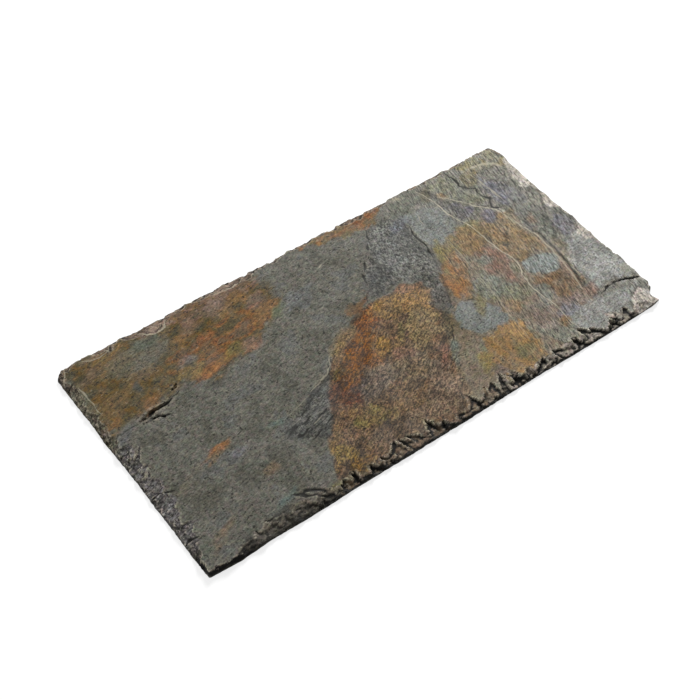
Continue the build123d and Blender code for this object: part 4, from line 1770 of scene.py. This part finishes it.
    def _thin(self, piece: bpy.types.Object) -> None:
        """Thins the underside's mesh, down to the stone's number of triangles, and keeps it off the floor.

        Args:
            piece: The stone, whose mesh is replaced.
        """
        mesh = piece.data
        mesh.calc_loop_triangles()
        under = np.empty(len(mesh.vertices), np.float32)
        mesh.attributes["bed"].data.foreach_get("value", under)
        group = piece.vertex_groups.new(name="underside")
        group.add(np.flatnonzero(under == 1).tolist(), 1.0, "REPLACE")
        thinner = piece.modifiers.new("thin", "DECIMATE")
        thinner.ratio = self.triangles / len(mesh.loop_triangles)
        thinner.vertex_group, thinner.vertex_group_factor = group.name, 1000
        seen = piece.evaluated_get(bpy.context.evaluated_depsgraph_get())
        piece.data = bpy.data.meshes.new_from_object(seen)
        piece.modifiers.clear()
        piece.vertex_groups.clear()
        bpy.data.meshes.remove(mesh)
        piece.data.name = self.name
        for vertex in piece.data.vertices:
            vertex.co.z = max(vertex.co.z, 0)

    def _unwrap(self, mesh: bpy.types.Mesh) -> None:
        """Lays out a map with the face, the bed and the walls each flat and side by side.

        Args:
            mesh: The stone's mesh.
        """
        corners = np.empty(len(mesh.loops), np.int32)
        mesh.loops.foreach_get("vertex_index", corners)
        places = np.empty(3 * len(mesh.vertices), np.float32)
        mesh.vertices.foreach_get("co", places)
        x, y, z = places.reshape(-1, 3)[corners].T / MM
        sides = [p.loop_total for p in mesh.polygons]
        normals = np.repeat(np.array([p.normal for p in mesh.polygons]), sides, 0)
        scale = (1 - 2 * self.map_margin) / self.length
        along = self.map_margin + scale * (x + self.half[0])
        across = scale * (y + self.half[1])
        wall = np.abs(normals[:, 2]) <= self.wall_slope
        ends = wall & (np.abs(normals[:, 0]) > np.abs(normals[:, 1]))
        head = np.where(normals[:, 0] > 0, scale * self.half[0], 0)
        u = np.where(ends, self.map_margin + across + head, along)
        v = np.where(normals[:, 2] < 0, MapRow.BED.value, MapRow.FACE.value) + across
        side = np.where(normals[:, 1] > 0, MapRow.BACK.value, MapRow.FRONT.value)
        v = np.where(wall, np.where(ends, MapRow.ENDS.value, side) + scale * z, v)
        layout = mesh.uv_layers.new(name="OFBake")
        layout.data.foreach_set("uv", np.stack([u, v], axis=1).astype(np.float32).ravel())


@dataclass(frozen=True)
class Viewpoint:
    """The camera: what it looks at, from where, with its angles in degrees, and through which lens."""

    target: tuple[float, float, float] = (-21.8, -2.6, 0.0)
    azimuth: float = -38.22
    elevation: float = 51.0
    roll: float = 1.94
    distance: float = 1232.8
    lens: float = 71.3
    sensor: float = 36.0

    def build(self) -> None:
        """Sets up the camera."""
        a, e, r = radians(self.azimuth), radians(self.elevation), radians(self.roll)
        back = Vector((sin(a) * cos(e), -cos(a) * cos(e), sin(e)))
        right = Vector((cos(a), sin(a), 0))
        up = back.cross(right)
        right, up = cos(r) * right + sin(r) * up, cos(r) * up - sin(r) * right
        camera = bpy.data.objects.new("camera", bpy.data.cameras.new("camera"))
        camera.data.lens, camera.data.sensor_width = self.lens, self.sensor
        turn = Matrix((right, up, back)).transposed().to_4x4()
        camera.matrix_world = Matrix.Translation((Vector(self.target) + back * self.distance) * MM) @ turn
        bpy.context.scene.collection.objects.link(camera)
        bpy.context.scene.camera = camera


@dataclass(frozen=True)
class Lamp:
    """A soft square light that faces the tile: where it stands, its side, all in metres, and its power."""

    name: str
    place: tuple[float, float, float]
    side: float
    watts: float

    def build(self) -> None:
        """Hangs the light."""
        light = bpy.data.lights.new(self.name, "AREA")
        light.size, light.energy = self.side, self.watts
        lamp = bpy.data.objects.new(self.name, light)
        lamp.location = self.place
        lamp.rotation_euler = (-Vector(self.place)).to_track_quat("-Z", "Y").to_euler()
        bpy.context.scene.collection.objects.link(lamp)


@dataclass
class Studio:
    """A pale floor under plain soft light, with the camera.

    The floor's side, and where its glow starts and stops to rise from the middle, are in metres.
    """

    viewpoint: Viewpoint = field(default_factory=Viewpoint)
    lamps: tuple[Lamp, ...] = (
        Lamp("key", (1.05, 1.15, 1.15), 0.7, 40.5),
        Lamp("low", (-1.9, 0.35, 0.4), 0.5, 10.0),
    )
    daylight: float = 0.26
    floor_side: float = 8.0
    floor_colour: str = "#a8a8a8"
    floor_glow: float = 0.74
    fade: Range = (0.6, 2.0)

    def build(self) -> None:
        """Sets up the floor, the light and the camera."""
        self._floor()
        for lamp in self.lamps:
            lamp.build()
        self._sky()
        bpy.context.scene.view_settings.view_transform = "Standard"
        self.viewpoint.build()

    def _sky(self) -> None:
        """Lights the tile from all round, in front of a backdrop that the camera sees as white."""
        world = bpy.data.worlds.new("daylight")
        g = Graph(world)
        seen = g.add("ShaderNodeLightPath", {}, "Is Camera Ray")
        strength = g.add("ShaderNodeMapRange", {"Value": seen, "To Min": self.daylight})
        sky = g.add("ShaderNodeBackground", {"Color": (1, 1, 1, 1), "Strength": strength})
        g.add("ShaderNodeOutputWorld", {"Surface": sky})
        bpy.context.scene.world = world

    def _floor(self) -> None:
        """Lays a floor that the camera sees as white, with the tile's shadow on it."""
        mesh = bpy.data.meshes.new("floor")
        bm = bmesh.new()
        bmesh.ops.create_grid(bm, x_segments=1, y_segments=1, size=self.floor_side / 2)
        bm.to_mesh(mesh)
        bm.free()
        # Matt paper, rolled smooth, that shows a soft shadow and no reflection. It glows for the camera
        # only, and more so far from the tile, where it fades into the white backdrop.
        g = Graph(bpy.data.materials.new("floor_paper"))
        seen = g.add("ShaderNodeLightPath", {}, "Is Camera Ray")
        place = g.add("ShaderNodeTexCoord", {}, "Object")
        far = g.add("ShaderNodeVectorMath", {0: place}, "Value", operation="LENGTH")
        near_end, far_end = self.fade
        inputs = {"Value": far, "From Min": near_end, "From Max": far_end, "To Min": self.floor_glow}
        glow = g.add("ShaderNodeMapRange", inputs)
        glow = g.add("ShaderNodeMath", {0: seen, 1: glow}, operation="MULTIPLY")
        inputs = {"Base Color": linear(self.floor_colour), "Roughness": 0.9, "Specular IOR Level": 0.0}
        inputs |= {"Emission Color": (1, 1, 1, 1), "Emission Strength": glow}
        shader = g.add("ShaderNodeBsdfPrincipled", inputs)
        g.add("ShaderNodeOutputMaterial", {"Surface": shader})
        mesh.materials.append(g.owner)
        floor = bpy.data.objects.new("floor", mesh)
        bpy.context.scene.collection.objects.link(floor)


def main() -> None:
    """Builds the tile and its studio."""
    logging.basicConfig(level=logging.INFO)
    tile = RivenTile()
    piece = tile.build()
    tile.dress(piece)
    log.info("%s: %d triangles", piece.name, sum(p.loop_total - 2 for p in piece.data.polygons))
    studio = Studio()
    studio.build()
    log.info("studio: %d lamps", len(studio.lamps))


if __name__ == "__main__":
    main()
